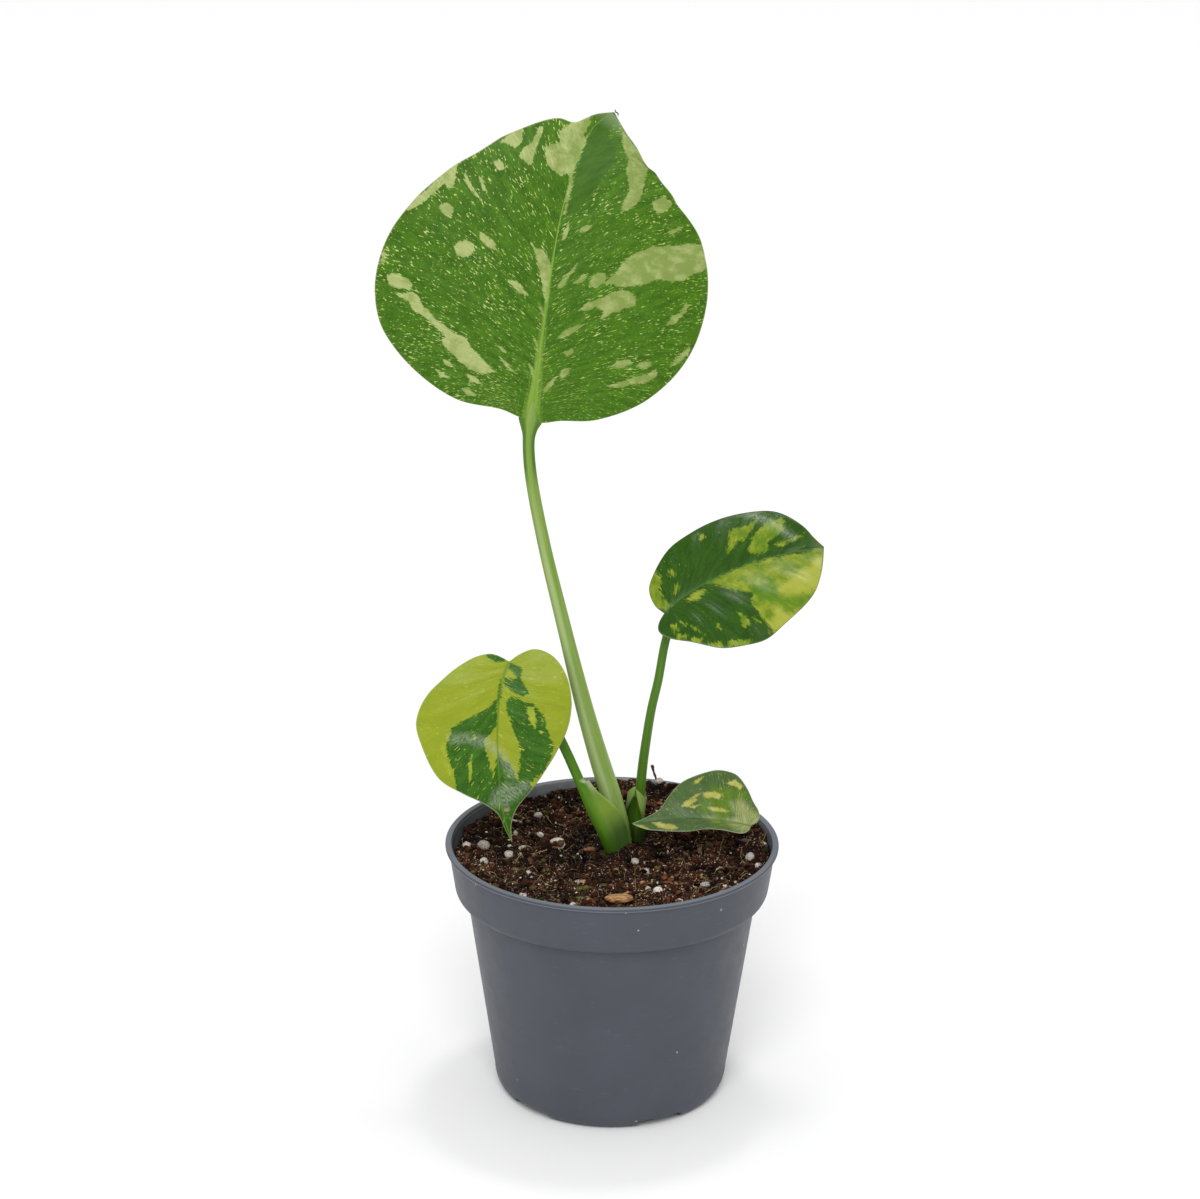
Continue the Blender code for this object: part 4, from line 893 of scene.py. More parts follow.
def blade_surface(leaf, along, across):
    """Where a point of the flat blade goes, and the way that its upper side faces. A line across the
    blade is an arc that rises from the midrib at the fold's angle and bends down evenly."""
    path = smooth_path(leaf["midrib"])
    lengths = length_along(path)
    ahead = unit(np.gradient(path, lengths, axis=0))
    along, across = np.broadcast_arrays(np.asarray(along, float), np.asarray(across, float))
    direction = unit(read_path(ahead, lengths, along))
    beyond = along - np.clip(along, 0.0, lengths[-1])
    centre = read_path(path, lengths, along) + beyond[..., None] * direction
    square_to = unit((1.0 - leaf["steady"]) * direction + leaf["steady"] * unit(path[-1] - path[0]))
    sideways = np.array(leaf["across"])
    sideways = unit(sideways - (square_to @ sideways)[..., None] * square_to)
    upward = unit(np.cross(direction, sideways))
    upward *= np.sign(upward @ np.array(leaf["face"]))[..., None]
    fold, curl = np.radians(leaf["fold"]), np.radians(leaf["curl"])
    slope = fold - curl * np.abs(across)
    side = np.sign(across) * (np.sin(fold) - np.sin(slope)) / curl
    lift = (np.cos(slope) - np.cos(fold)) / curl
    point = centre + side[..., None] * sideways + lift[..., None] * upward
    normal = np.cos(slope)[..., None] * upward - (np.sin(slope) * np.sign(across))[..., None] * sideways
    return point, unit(normal)


def half_grid(leaf, side, sign, length):
    """One half blade's flat grid: side veins that leave the midrib, sweep to the tip and end on the
    margin, with each point's number along the midrib, its share of the way out and its distance from the
    margin."""
    rows, columns = leaf["grid"]
    margin = smooth_path(np.array(leaf[side]) * length)
    travelled = length_along(margin)
    spots = read_path(margin, travelled, np.linspace(0.0, travelled[-1], rows + 1))
    vein = (np.arange(rows + 1) / rows)[:, None]
    roots = np.c_[length * vein ** 2.2, np.zeros(rows + 1)]
    share = (np.arange(columns + 1) / columns)[None] ** 1.25
    grid = roots[:, None] + (spots - roots)[:, None] * share[..., None]
    grid[..., 0] += leaf["sweep"] * length * 4 * share * (1 - share) * 6.75 * vein * (1 - vein) ** 2
    reach = np.linalg.norm(spots - roots, axis=1)[:, None]
    return (grid * (1.0, sign), sign * share * reach, vein * travelled[-1] + 0 * share, (1 - share) * reach,
            vein + 0 * share, share + 0 * vein)


def make_blade(name, leaf):
    """A blade as one closed skin: both sides are the same grid, set off along the normal, with a raised
    rib below, shallow grooves over the side veins, and a rounded margin."""
    length = length_along(smooth_path(leaf["midrib"]))[-1]
    rows, columns = leaf["grid"]
    left_parts = half_grid(leaf, "left", -1.0, length)
    right_parts = half_grid(leaf, "right", 1.0, length)
    flat, out, lane, inset, vein, share = (
        np.concatenate([a.reshape(-1, *a.shape[2:]), b[1:-1, 1:].reshape(-1, *b.shape[2:])])
        for a, b in zip(left_parts, right_parts))
    left = np.arange((rows + 1) * (columns + 1)).reshape(rows + 1, columns + 1)
    left[0], left[-1] = left[0, 0], left[-1, 0]
    right = left.copy()
    right[1:-1, 1:] = (rows + 1) * (columns + 1) + np.arange((rows - 1) * columns).reshape(rows - 1, columns)
    quads = np.concatenate([
        np.stack([half[:-1, :-1], half[1:, :-1], half[1:, 1:], half[:-1, 1:]], axis=-1).reshape(-1, 4)
        for half in (left, right[:, ::-1])])
    along, across = flat[:, 0], flat[:, 1]
    point, normal = blade_surface(leaf, along, across)
    above, below, width = leaf["rib"]
    rib = np.exp(-(across / width) ** 2) * np.clip(1.0 - along / length, 0.0, 1.0)
    phase = vein * leaf["veins"] * 2
    groove = np.exp(-((phase - np.round(phase)) / 0.10) ** 2) * ease(inset / 0.008) * ease(share / 0.15)
    ripple = RIPPLE_HEIGHT * np.sin(phase * np.pi) * ease(share / 0.3) * ease(inset / 0.004)
    rounding = np.sqrt(np.clip(inset / EDGE_ROUNDING, 0.06, 1.0))
    point = point + ripple[:, None] * normal
    upper = point + (BLADE_HALF_THICKNESS * rounding + above * rib - VEIN_DEPTH * groove)[:, None] * normal
    lower = point - (BLADE_HALF_THICKNESS * rounding + below * rib + VEIN_DEPTH * groove)[:, None] * normal
    edge = np.r_[left[:, -1], right[-2:0:-1, -1]]
    shift = len(flat)
    walls = np.stack([edge, np.roll(edge, -1), np.roll(edge, -1) + shift, edge + shift], axis=-1)
    faces = np.vstack([quads, quads[:, ::-1] + shift, walls])
    used, faces = np.unique(faces, return_inverse=True)
    tidy = [list(dict.fromkeys(face)) for face in faces.reshape(-1, 4).tolist()]
    marks = seen_at(point)
    numbers = {title: marked(marks, leaf["crop"], outlines) for title, outlines in leaf["marks"].items()}
    band_width, narrowing = leaf["rib_band"]
    rib_width = band_width * np.exp(-narrowing * along / length) + 0.00012
    numbers["band"] = np.clip(1.5 - np.abs(across) / rib_width, -1.0, 1.0)
    numbers["inset"] = inset * METRE
    numbers["tip"] = along / length
    doubled = {title: np.r_[values, values][used] for title, values in numbers.items()}
    doubled["under"] = np.r_[np.zeros(shift), np.ones(shift)][used]
    maps = {"veins": np.c_[out, lane] * METRE, "flat": np.c_[across, along] * METRE}
    both_maps = {title: np.vstack([flat_places, flat_places])[used] for title, flat_places in maps.items()}
    faces = [face for face in tidy if len(face) > 2]
    return new_piece(name, np.vstack([upper, lower])[used], faces, doubled, both_maps, sharp=70.0)


LEAVES["tall_leaf"]["marks"] = {
    "light": [
        (160, 525, 170, 480, 240, 440, 300, 380, 345, 325, 385, 300, 375, 360, 365, 425, 340, 425, 325, 405,
         290, 440, 255, 470, 225, 495, 190, 515),
        (550, 240, 590, 205, 650, 165, 668, 175, 668, 200, 655, 240, 625, 250, 600, 235, 590, 225),
        (650, 290, 670, 250, 700, 235, 720, 200, 735, 160, 755, 160, 745, 200, 725, 250, 715, 290, 700, 330,
         675, 310),
        (825, 180, 870, 145, 910, 130, 955, 110, 960, 140, 930, 200, 950, 200, 945, 225, 925, 260, 905, 310,
         890, 350, 880, 385, 860, 365, 830, 375, 800, 350, 775, 330, 765, 290, 760, 245, 800, 235,
         830, 225), (872, 375, 885, 400, 868, 470, 852, 545, 843, 545, 850, 500, 860, 430),
        (1100, 180, 1140, 230, 1180, 280, 1215, 330, 1205, 370, 1190, 420, 1185, 455, 1160, 500, 1120, 525,
         1090, 535, 1100, 495, 1130, 440, 1125, 395, 1115, 350, 1125, 310, 1110, 270, 1098, 230),
        (1230, 490, 1270, 465, 1305, 480, 1318, 500, 1280, 535, 1250, 540, 1235, 520),
        (1020, 840, 1070, 795, 1110, 740, 1160, 710, 1230, 680, 1300, 680, 1400, 668, 1450, 675, 1470, 720,
         1475, 765, 1440, 795, 1400, 800, 1370, 830, 1320, 835, 1250, 825, 1200, 845, 1150, 855, 1100, 858),
        (905, 960, 950, 925, 1000, 910, 1050, 885, 1100, 868, 1145, 885, 1160, 910, 1150, 945, 1110, 950,
         1085, 965, 1050, 970, 1035, 985, 995, 1003, 1020, 965, 990, 945, 950, 960),
        (952, 855, 958, 820, 1000, 793, 1028, 805, 1020, 838, 985, 862),
        (885, 842, 920, 805, 948, 800, 940, 822, 910, 842),
        (813, 868, 830, 830, 870, 790, 908, 745, 895, 778, 870, 810, 840, 858),
        (698, 662, 720, 690, 760, 695, 780, 740, 786, 790, 780, 850, 776, 910, 765, 932, 755, 890, 745, 830,
         735, 780, 725, 730, 715, 700),
        (470, 618, 495, 623, 515, 645, 545, 660, 548, 697, 520, 690, 500, 670, 485, 655),
        (363, 690, 375, 665, 410, 653, 457, 670, 457, 705, 420, 732, 380, 720),
        (303, 500, 325, 488, 355, 500, 362, 525, 352, 558, 325, 542, 305, 527),
        (72, 803, 125, 798, 165, 820, 188, 850, 175, 872, 130, 865, 85, 852),
        (95, 880, 150, 885, 190, 880, 215, 905, 235, 945, 290, 1000, 370, 1060, 420, 1080, 440, 1120,
         480, 1160, 545, 1228, 490, 1237, 440, 1220, 400, 1190, 360, 1150, 320, 1110, 310, 1085, 330, 1075,
         280, 1030, 235, 985, 190, 960, 170, 925, 130, 900),
        (593, 823, 640, 835, 670, 865, 692, 898, 650, 882, 620, 860),
        (283, 1213, 325, 1233, 348, 1257, 308, 1250), (318, 1173, 345, 1180, 363, 1207, 330, 1197),
        (422, 1238, 465, 1253, 488, 1282, 440, 1270), (398, 1298, 430, 1300, 463, 1332, 422, 1330),
        (1288, 1027, 1310, 990, 1340, 975, 1378, 927, 1385, 947, 1360, 985, 1320, 1022),
        (1305, 1203, 1340, 1160, 1392, 1115, 1388, 1147, 1350, 1188),
        (1042, 1208, 1080, 1180, 1130, 1173, 1142, 1190, 1100, 1212),
        (1158, 1203, 1180, 1185, 1217, 1178, 1227, 1200, 1190, 1217),
        (1028, 1288, 1100, 1270, 1160, 1245, 1215, 1235, 1247, 1210, 1247, 1247, 1200, 1275, 1130, 1287,
         1080, 1297), (823, 1243, 850, 1210, 877, 1212, 860, 1242, 835, 1258),
        (752, 1313, 770, 1280, 808, 1252, 795, 1285, 770, 1313),
        (808, 1088, 850, 1045, 900, 1025, 937, 1018, 900, 1047, 860, 1072),
        (836, 655, 845, 615, 865, 572, 870, 600, 850, 655),
        (908, 612, 935, 588, 967, 593, 945, 617, 920, 622), (1293, 622, 1345, 593, 1358, 605, 1320, 632),
        (535, 315, 560, 303, 587, 320, 580, 347, 553, 352),
        (400, 353, 418, 370, 442, 410, 492, 487, 455, 457, 420, 412),
        (473, 368, 492, 380, 512, 452, 490, 432), (845, 1147, 882, 1123, 887, 1147, 860, 1162),
        (47, 752, 60, 690, 72, 720, 62, 762), (543, 1103, 580, 1123, 603, 1147, 570, 1137),
        (733, 927, 752, 950, 757, 992, 740, 970), (713, 1083, 729, 1095, 729, 1122, 715, 1103),
        (560, 1160, 600, 1190, 640, 1240, 600, 1215), (690, 1190, 712, 1215, 716, 1262, 700, 1235),
        (1340, 1310, 1240, 1345, 1300, 1290, 1400, 1200)],
    "deep": [
        (850, 560, 868, 500, 884, 440, 893, 385, 908, 330, 930, 270, 950, 210, 975, 165, 1000, 110,
         1065, 90, 1085, 125, 1048, 165, 1040, 210, 1078, 250, 1062, 310, 1012, 390, 962, 460, 900, 525)],
}
LEAVES["right_leaf"]["marks"] = {
    "light": [
        (520, 655, 620, 600, 740, 548, 860, 500, 1000, 460, 1150, 430, 1300, 410, 1450, 375, 1500, 440,
         1480, 560, 1450, 680, 1380, 790, 1280, 880, 1190, 960, 1090, 1030, 1030, 1035, 1020, 980, 960, 930,
         920, 870, 880, 830, 870, 775, 900, 722, 830, 722, 740, 712, 640, 682, 580, 668),
        (60, 720, 70, 640, 110, 560, 125, 560, 152, 590, 168, 640, 158, 700, 182, 770, 232, 820, 212, 870,
         170, 860, 100, 830, 65, 780),
        (675, 425, 690, 370, 700, 300, 688, 260, 760, 228, 850, 188, 935, 148, 900, 200, 860, 262, 830, 302,
         800, 342, 790, 312, 740, 362, 700, 415),
        (850, 402, 870, 310, 930, 250, 980, 180, 1060, 148, 1172, 160, 1120, 200, 1132, 240, 1060, 280,
         1012, 322, 1000, 392, 930, 432, 870, 412),
        (1060, 352, 1120, 318, 1200, 298, 1280, 288, 1180, 325, 1100, 365),
        (450, 268, 500, 278, 512, 312, 470, 322), (230, 540, 262, 560, 275, 600, 245, 610),
        (268, 740, 275, 680, 292, 648, 302, 670, 288, 745),
        (365, 790, 400, 745, 440, 712, 505, 712, 525, 735, 470, 762, 440, 792, 390, 800),
        (240, 985, 285, 980, 305, 1030, 262, 1045), (285, 1045, 380, 1065, 365, 1098, 290, 1090),
        (395, 1085, 485, 1085, 495, 1125, 430, 1130), (690, 1105, 870, 1095, 850, 1145, 700, 1150),
        (530, 1125, 640, 1120, 640, 1160, 540, 1160),
        (320, 955, 400, 975, 460, 1025, 500, 1060, 420, 1010, 340, 970),
        (765, 880, 830, 915, 860, 975, 820, 1000, 795, 965), (880, 920, 930, 935, 945, 960, 900, 950),
        (598, 960, 625, 975, 615, 995, 640, 1020, 600, 995)],
    "bright": [
        (1060, 700, 1180, 610, 1330, 520, 1400, 440, 1470, 430, 1470, 560, 1430, 690, 1340, 720, 1250, 735,
         1150, 745, 1090, 740),
        (1030, 1035, 1010, 985, 1000, 955, 1060, 900, 1030, 850, 1110, 835, 1118, 882, 1200, 900, 1240, 860,
         1260, 900, 1180, 970, 1090, 1030), (380, 785, 440, 722, 500, 718, 440, 782)],
    # A painted sheen along the upper margin.
    "film_and_sheen": [
        (330, 215, 450, 150, 588, 105, 760, 70, 900, 80, 1010, 130, 1120, 195, 1240, 290, 1200, 330,
         1080, 250, 960, 190, 860, 140, 740, 120, 600, 145, 470, 190, 350, 250)],
    "deep": [
        (860, 690, 930, 660, 1080, 672, 1060, 728, 1120, 765, 1210, 770, 1330, 735, 1340, 775, 1240, 850,
         1110, 832, 1000, 800, 910, 760),
        (900, 300, 960, 290, 1050, 230, 1120, 215, 1020, 300, 960, 340, 905, 370)],
}
LEAVES["left_leaf"]["marks"] = {
    "deep": [
        (562, 632, 530, 665, 490, 700, 440, 722, 400, 745, 345, 768, 300, 800, 288, 860, 268, 900, 280, 970,
         310, 1050, 325, 1140, 335, 1180, 420, 1240, 470, 1290, 495, 1330, 560, 1360, 570, 1420, 590, 1500,
         640, 1520, 670, 1490, 650, 1400, 662, 1310, 700, 1240, 745, 1195, 770, 1150, 760, 1120, 790, 1090,
         830, 1060, 870, 985, 897, 905, 872, 860, 852, 800, 838, 740, 800, 690, 765, 652, 720, 652,
         690, 628, 640, 622, 622, 640, 612, 680, 640, 760, 662, 830, 692, 885, 702, 960, 690, 1050,
         682, 1100, 660, 1060, 640, 1010, 600, 985, 575, 940, 562, 990, 548, 1050, 540, 1100, 530, 1040,
         500, 950, 490, 870, 525, 830, 562, 790, 566, 740, 562, 700),
        (640, 425, 685, 440, 712, 462, 700, 510, 722, 550, 748, 602, 710, 617, 660, 592, 640, 572, 610, 560,
         603, 510, 660, 518, 682, 508, 650, 470, 628, 455),
        (572, 565, 582, 520, 592, 560, 586, 620, 572, 670, 560, 640),
        (490, 380, 520, 365, 560, 365, 600, 388, 612, 412, 560, 417, 520, 402)],
    "light": [
        (733, 672, 778, 682, 792, 740, 785, 805, 760, 772, 740, 722), (815, 740, 832, 765, 828, 785),
        (300, 1090, 250, 1000, 240, 900, 262, 870, 262, 960, 290, 1050, 325, 1130),
        (425, 822, 447, 850, 432, 872), (395, 1100, 402, 1020, 418, 960, 416, 1050, 402, 1120)],
    # Two bands of painted sheen.
    "film_and_sheen": [
        (279, 842, 401, 830, 511, 853, 604, 935, 668, 1039, 679, 1103, 621, 1086, 575, 981, 494, 917,
         389, 888, 296, 900),
        (511, 1242, 540, 1167, 604, 1121, 679, 1121, 743, 1103, 761, 1150, 697, 1196, 621, 1260, 540, 1260)],
    "dry": [
        (602, 1270, 626, 1266, 642, 1276, 624, 1286, 604, 1284)],
}
LEAVES["low_leaf"]["marks"] = {
    "light": [
        (912, 442, 940, 420, 1020, 408, 1080, 428, 1105, 456, 1060, 472, 940, 472),
        (698, 555, 720, 520, 790, 488, 855, 484, 820, 518, 780, 542, 750, 562),
        (788, 472, 850, 440, 905, 420, 860, 452, 810, 482), (768, 562, 860, 538, 882, 545, 820, 568),
        (938, 563, 1060, 563, 1165, 602, 1100, 610, 1000, 602),
        (418, 718, 480, 712, 560, 733, 640, 743, 662, 772, 600, 784, 520, 772, 450, 747),
        (250, 742, 330, 752, 392, 787, 320, 777), (1130, 328, 1230, 298, 1305, 362, 1280, 385, 1200, 352),
        (828, 312, 870, 283, 915, 265, 880, 312, 840, 328)],
    "bright": [
        (1180, 518, 1280, 478, 1340, 528, 1400, 598, 1470, 640, 1470, 720, 1400, 800, 1300, 815, 1200, 765,
         1120, 692, 1250, 652, 1200, 582), (918, 648, 1000, 658, 1064, 702, 1000, 692)],
    "deep": [
        (860, 602, 900, 500, 880, 480, 1000, 378, 1100, 368, 1250, 378, 1350, 418, 1392, 502, 1300, 482,
         1200, 482, 1180, 542, 1222, 622, 1162, 682, 1100, 702, 1200, 770, 1000, 740, 1000, 622)],
}

# What each blade's living tissue shows: its ground greens, the tones of its marks and of the flecks
# between them, and the noise level above which a fleck or a dash shows. "rough" and "gloss" are its
# roughness and its specular level. "soft" is how soft the edges of the deep, light and bright marks are,
# and "fray" how far they wander, both in pixels of the picture, with the size in mm of the fraying out
# from the rib and along it. "ragged" is a broader wander, and "patchy" how streaky the bright marks are.
# "tip" is the tone near the tip, which on the tall blade is a painted sheen.
LEAF_TONES = {
    "tall_leaf": {
        "ground": ("2c5206", "4f7c14"), "deep": ("2f550a", "436c12"), "light": ("7e9248", "b0ba7a"),
        "bright": "c9d39f", "fleck": ("98b445", "c0cd7c"), "fleck_level": 0.610, "dash_level": 0.655,
        "band": "83a440", "rough": 0.46, "gloss": 0.15, "edge": "a8ae84", "tip": "8a9a74",
        "soft": (0.4, 0.4, 0.4), "fray": (1.6, 2.222, 0.8333), "ragged": 6.0, "patchy": 0.0,
    },
    "right_leaf": {
        "ground": ("1f3f0b", "335a12"), "deep": ("41690f", "58801c"), "light": ("587814", "959e30"),
        "bright": "a3a741", "fleck": ("5f8420", "8f9f3a"), "fleck_level": 0.675, "dash_level": 0.69,
        "band": "3f6a24", "rough": 0.21, "gloss": 0.15, "edge": "6f7d55", "tip": "5f7045",
        "soft": (2.5, 1.0, 3.0), "fray": (3.6, 3.333, 1.667), "ragged": 7.0, "patchy": 0.4,
    },
    "left_leaf": {
        "ground": ("81921a", "949f27"), "deep": ("224a08", "3e7014"), "light": ("8a9c26", "9dab33"),
        "bright": "b1bb48", "fleck": ("7d9030", "a9b24a"), "fleck_level": 0.655, "dash_level": 0.635,
        "band": "5d7d28", "rough": 0.34, "gloss": 0.18, "edge": "b4b98c", "tip": "4f7a20",
        "soft": (0.5, 0.5, 0.5), "fray": (2.4, 2.5, 1.0), "ragged": 7.0, "patchy": 0.0,
    },
    "low_leaf": {
        "ground": ("40582c", "526d3a"), "deep": ("4a6c10", "637f1c"), "light": ("a6a244", "c2bd74"),
        "bright": "adb270", "fleck": ("6c8040", "98a464"), "fleck_level": 0.620, "dash_level": 0.675,
        "band": "46642f", "rough": 0.32, "gloss": 0.22, "edge": "a3aa88", "tip": "6f8a50",
        "soft": (3.0, 0.8, 3.0), "fray": (1.2, 5.0, 3.333), "ragged": 5.0, "patchy": 0.9,
    },
}


def blade_material(name, tones, marks):
    """Waxy leaf skin. The ground colour drifts slowly. Flecks and the marks, whose edges are frayed by
    noises drawn out along the side veins, lie over it, then a painted sheen, a dry spot, the midrib's band,
    the tip's tone (a painted sheen on the tall blade), the pale margin and the paler underside. Each noise
    has the map that it follows, the size of its cells in mm, its detail, the part of its range that is used,
    what that part becomes, and a shift of its own."""
    material, put, surface = new_material(name)
    veins = put("UVMap", uv_map="veins")
    flat = put("UVMap", uv_map="flat")
    wander, fray_out, fray_lane = tones["fray"]
    ragged = 0.5 * tones["ragged"]
    dull, shiny = tones["rough"] + 0.07, tones["rough"] - 0.04
    looks = {
        "drift": (veins, (8.333, 3.333), 5.0, (0.36, 0.64), (0.0, 1.0), 0.0),
        "mottle": (veins, (1.25, 0.6667), 3.0, (0.32, 0.68), (0.0, 1.0), 25.0),
        "fray": (veins, (fray_out, fray_lane), 4.0, (0.22, 0.78), (-wander, wander), 0.0),
        "ragged": (veins, (1.818, 0.7692), 3.0, (0.0, 1.0), (-ragged, ragged), 60.0),
        "streak": (veins, (4.545, 0.5), 4.0, (0.36, 0.64), (0.0, 1.0), 40.0),
        "cloudy": (flat, (4.545, 4.545), 4.0, (0.38, 0.62), (0.0, 1.0), 10.0),
        "region": (flat, (14.29, 14.29), 2.0, (0.3, 0.7), (-0.05, 0.05), 0.0),
        "spray": (veins, (2.0, 0.8), 3.0, (0.0, 1.0), (0.0, 1.0), 5.0),
        "dash": (veins, (3.846, 1.176), 3.0, (0.0, 1.0), (0.0, 1.0), 70.0),
        "fibre": (flat, (0.6667, 20.0), 2.0, (0.3, 0.7), (-0.5, 0.35), 0.0),
        "dull": (veins, (3.333, 1.667), 3.0, (0.3, 0.7), (shiny, dull), 15.0),
    }
    cloud = {}
    for title, (space, size, detail, seen, wanted, shift) in looks.items():
        cells = (1 / size[0], 1 / size[1], 1.0)
        moved = put("Mapping", {"Vector": space, "Location": (shift, shift, 0.0), "Scale": cells})
        noise = put("TexNoise", {"Vector": moved, "Scale": 1.0, "Detail": detail, "Roughness": 0.62})
        cloud[title] = put("MapRange", (noise, *seen, *wanted))
    felt = {title: put("Attribute", out="Fac", attribute_name=title)
            for title in (*marks, "band", "inset", "tip", "under")}

    # Each mark's edge wanders in and out by the two frayings, and is made soft.
    wandering = put("Math", (cloud["fray"], cloud["ragged"]), operation="ADD")
    covered = {}
    for mark, soft in zip(("deep", "light", "bright"), tones["soft"]):
        if mark in marks:
            depth = put("Math", (felt[mark], wandering), operation="ADD")
            covered[mark] = put("MapRange", (depth, -soft, soft))

    # Flecks and dashes show where their noises are high. The tall blade has none on its smooth deep patch,
    # and its pale marks are whiter to the left.
    thick = put("Math", (cloud["spray"], cloud["region"]), operation="ADD")
    level = tones["fleck_level"]
    flecks = put("MapRange", (thick, level, level + 0.03, 0.0, 0.95))
    level = tones["dash_level"]
    dashes = put("MapRange", (cloud["dash"], level, level + 0.02, 0.0, 0.95))
    if name.startswith("tall"):
        smooth_part = put("MapRange", (felt["deep"], -1.0, 1.0, 1.0, 0.0))
        flecks = put("Math", (flecks, smooth_part), operation="MULTIPLY")
        dashes = put("Math", (dashes, smooth_part), operation="MULTIPLY")
        across = put("SeparateXYZ", (flat,))
        whiter = put("MapRange", (across, -25.0, 10.0, 0.45, -0.35))
        cloud["cloudy"] = put("Math", (cloud["cloudy"], whiter), operation="ADD", use_clamp=True)
    uneven = put("Mix", (0.45, cloud["drift"], cloud["mottle"]))
    tone = {}
    for part, share in (("ground", uneven), ("deep", uneven), ("light", cloud["cloudy"]),
                        ("fleck", cloud["cloudy"])):
        tone[part] = put("Mix", (share, *tones[part]), data_type="RGBA")
    green_streaks = put("Math", (cloud["streak"], 0.55), operation="MULTIPLY")
    tone["light"] = put("Mix", (green_streaks, tone["light"], tones["light"][0]), data_type="RGBA")

    # The layers from the lowest to the uppermost, each with its share and its colour.
    band = put("Math", (felt["band"], cloud["fibre"]), operation="ADD")
    layers = [(flecks, tone["fleck"]), (dashes, tones["fleck"][1]), (covered["light"], tone["light"])]
    if "deep" in marks:
        layers.insert(0, (covered["deep"], tone["deep"]))
    if "bright" in marks:
        patchy = tones["patchy"]
        left_over = put("Math", (cloud["streak"], patchy, 1.0 - patchy), operation="MULTIPLY_ADD")
        left_over = put("Math", (left_over, covered["bright"]), operation="MULTIPLY")
        layers.append((left_over, tones["bright"]))
    if name.startswith("right"):
        layers.append((put("Math", (covered["deep"], 0.75), operation="MULTIPLY"), tone["deep"]))
    # A painted sheen lies as a whitish veil over parts of the blade.
    if "film_and_sheen" in marks:
        film_and_sheen = put("MapRange", (felt["film_and_sheen"], -3.0, 4.0, 0.0, 0.6))
        film_and_sheen = put("Math", (film_and_sheen, cloud["mottle"]), operation="MULTIPLY")
        layers.append((film_and_sheen, "a9b29d"))
    if "dry" in marks:
        layers.append((put("MapRange", (felt["dry"], -0.8, 0.6, 0.0, 0.85)), "a08a70"))
    layers += [
        (put("MapRange", (band, 0.1, 1.0, 0.0, 0.85)), tones["band"]),
        # The tip's tone, which on the tall blade is a painted sheen.
        (put("MapRange", (felt["tip"], 0.93, 0.99, 0.0, 0.55)), tones["tip"]),
        (put("MapRange", (felt["inset"], 0.12, 0.42, 0.7, 0.0)), tones["edge"]),
        (put("MapRange", (felt["tip"], 0.988, 0.997, 0.0, 0.85)), "46351f"),
        (put("Math", (felt["under"], 0.38), operation="MULTIPLY"), "849a68")]
    blended = tone["ground"]
    for share, above in layers:
        blended = put("Mix", (share, blended, above), data_type="RGBA")
    duller = put("Math", (felt["under"], 0.14, cloud["dull"]), operation="MULTIPLY_ADD")
    dimples = put("TexNoise", {"Vector": veins, "Scale": 1 / 0.3846, "Detail": 3.0})
    bump = put("Bump", {"Strength": 0.20, "Distance": 0.0002, "Height": dimples})
    feed(surface, {"Base Color": blended, "Roughness": duller, "Specular IOR Level": tones["gloss"],
                   "Normal": bump})
    return material


for leaf_name, leaf in LEAVES.items():
    blade = make_blade(leaf_name + "_blade", leaf)
    skin = blade_material(leaf_name + "_waxy_skin", LEAF_TONES[leaf_name], leaf["marks"])
    settle(blade, skin, leaf_name, leaf_name)

# The tall blade's very tip has withered into a tiny hook of dead brown tissue, half a millimetre thick.
# It stands over the end of the midrib.
HOOK_RADIUS = 0.00028
tip_end = np.array(LEAVES["tall_leaf"]["midrib"][-1])
hook_bends = np.array([(0.0013, 0.0, -0.0014), (0.0012, 0.0, -0.0004), (0.0004, 0.0, 0.0001),
                       (0.0002, 0.0, 0.0010)])
points, faces = strands(smooth_path(tip_end + hook_bends, 12)[None], np.array([HOOK_RADIUS]))
hook = new_piece("withered_tip", points, faces)
settle(hook, twig_material, "tall_leaf")


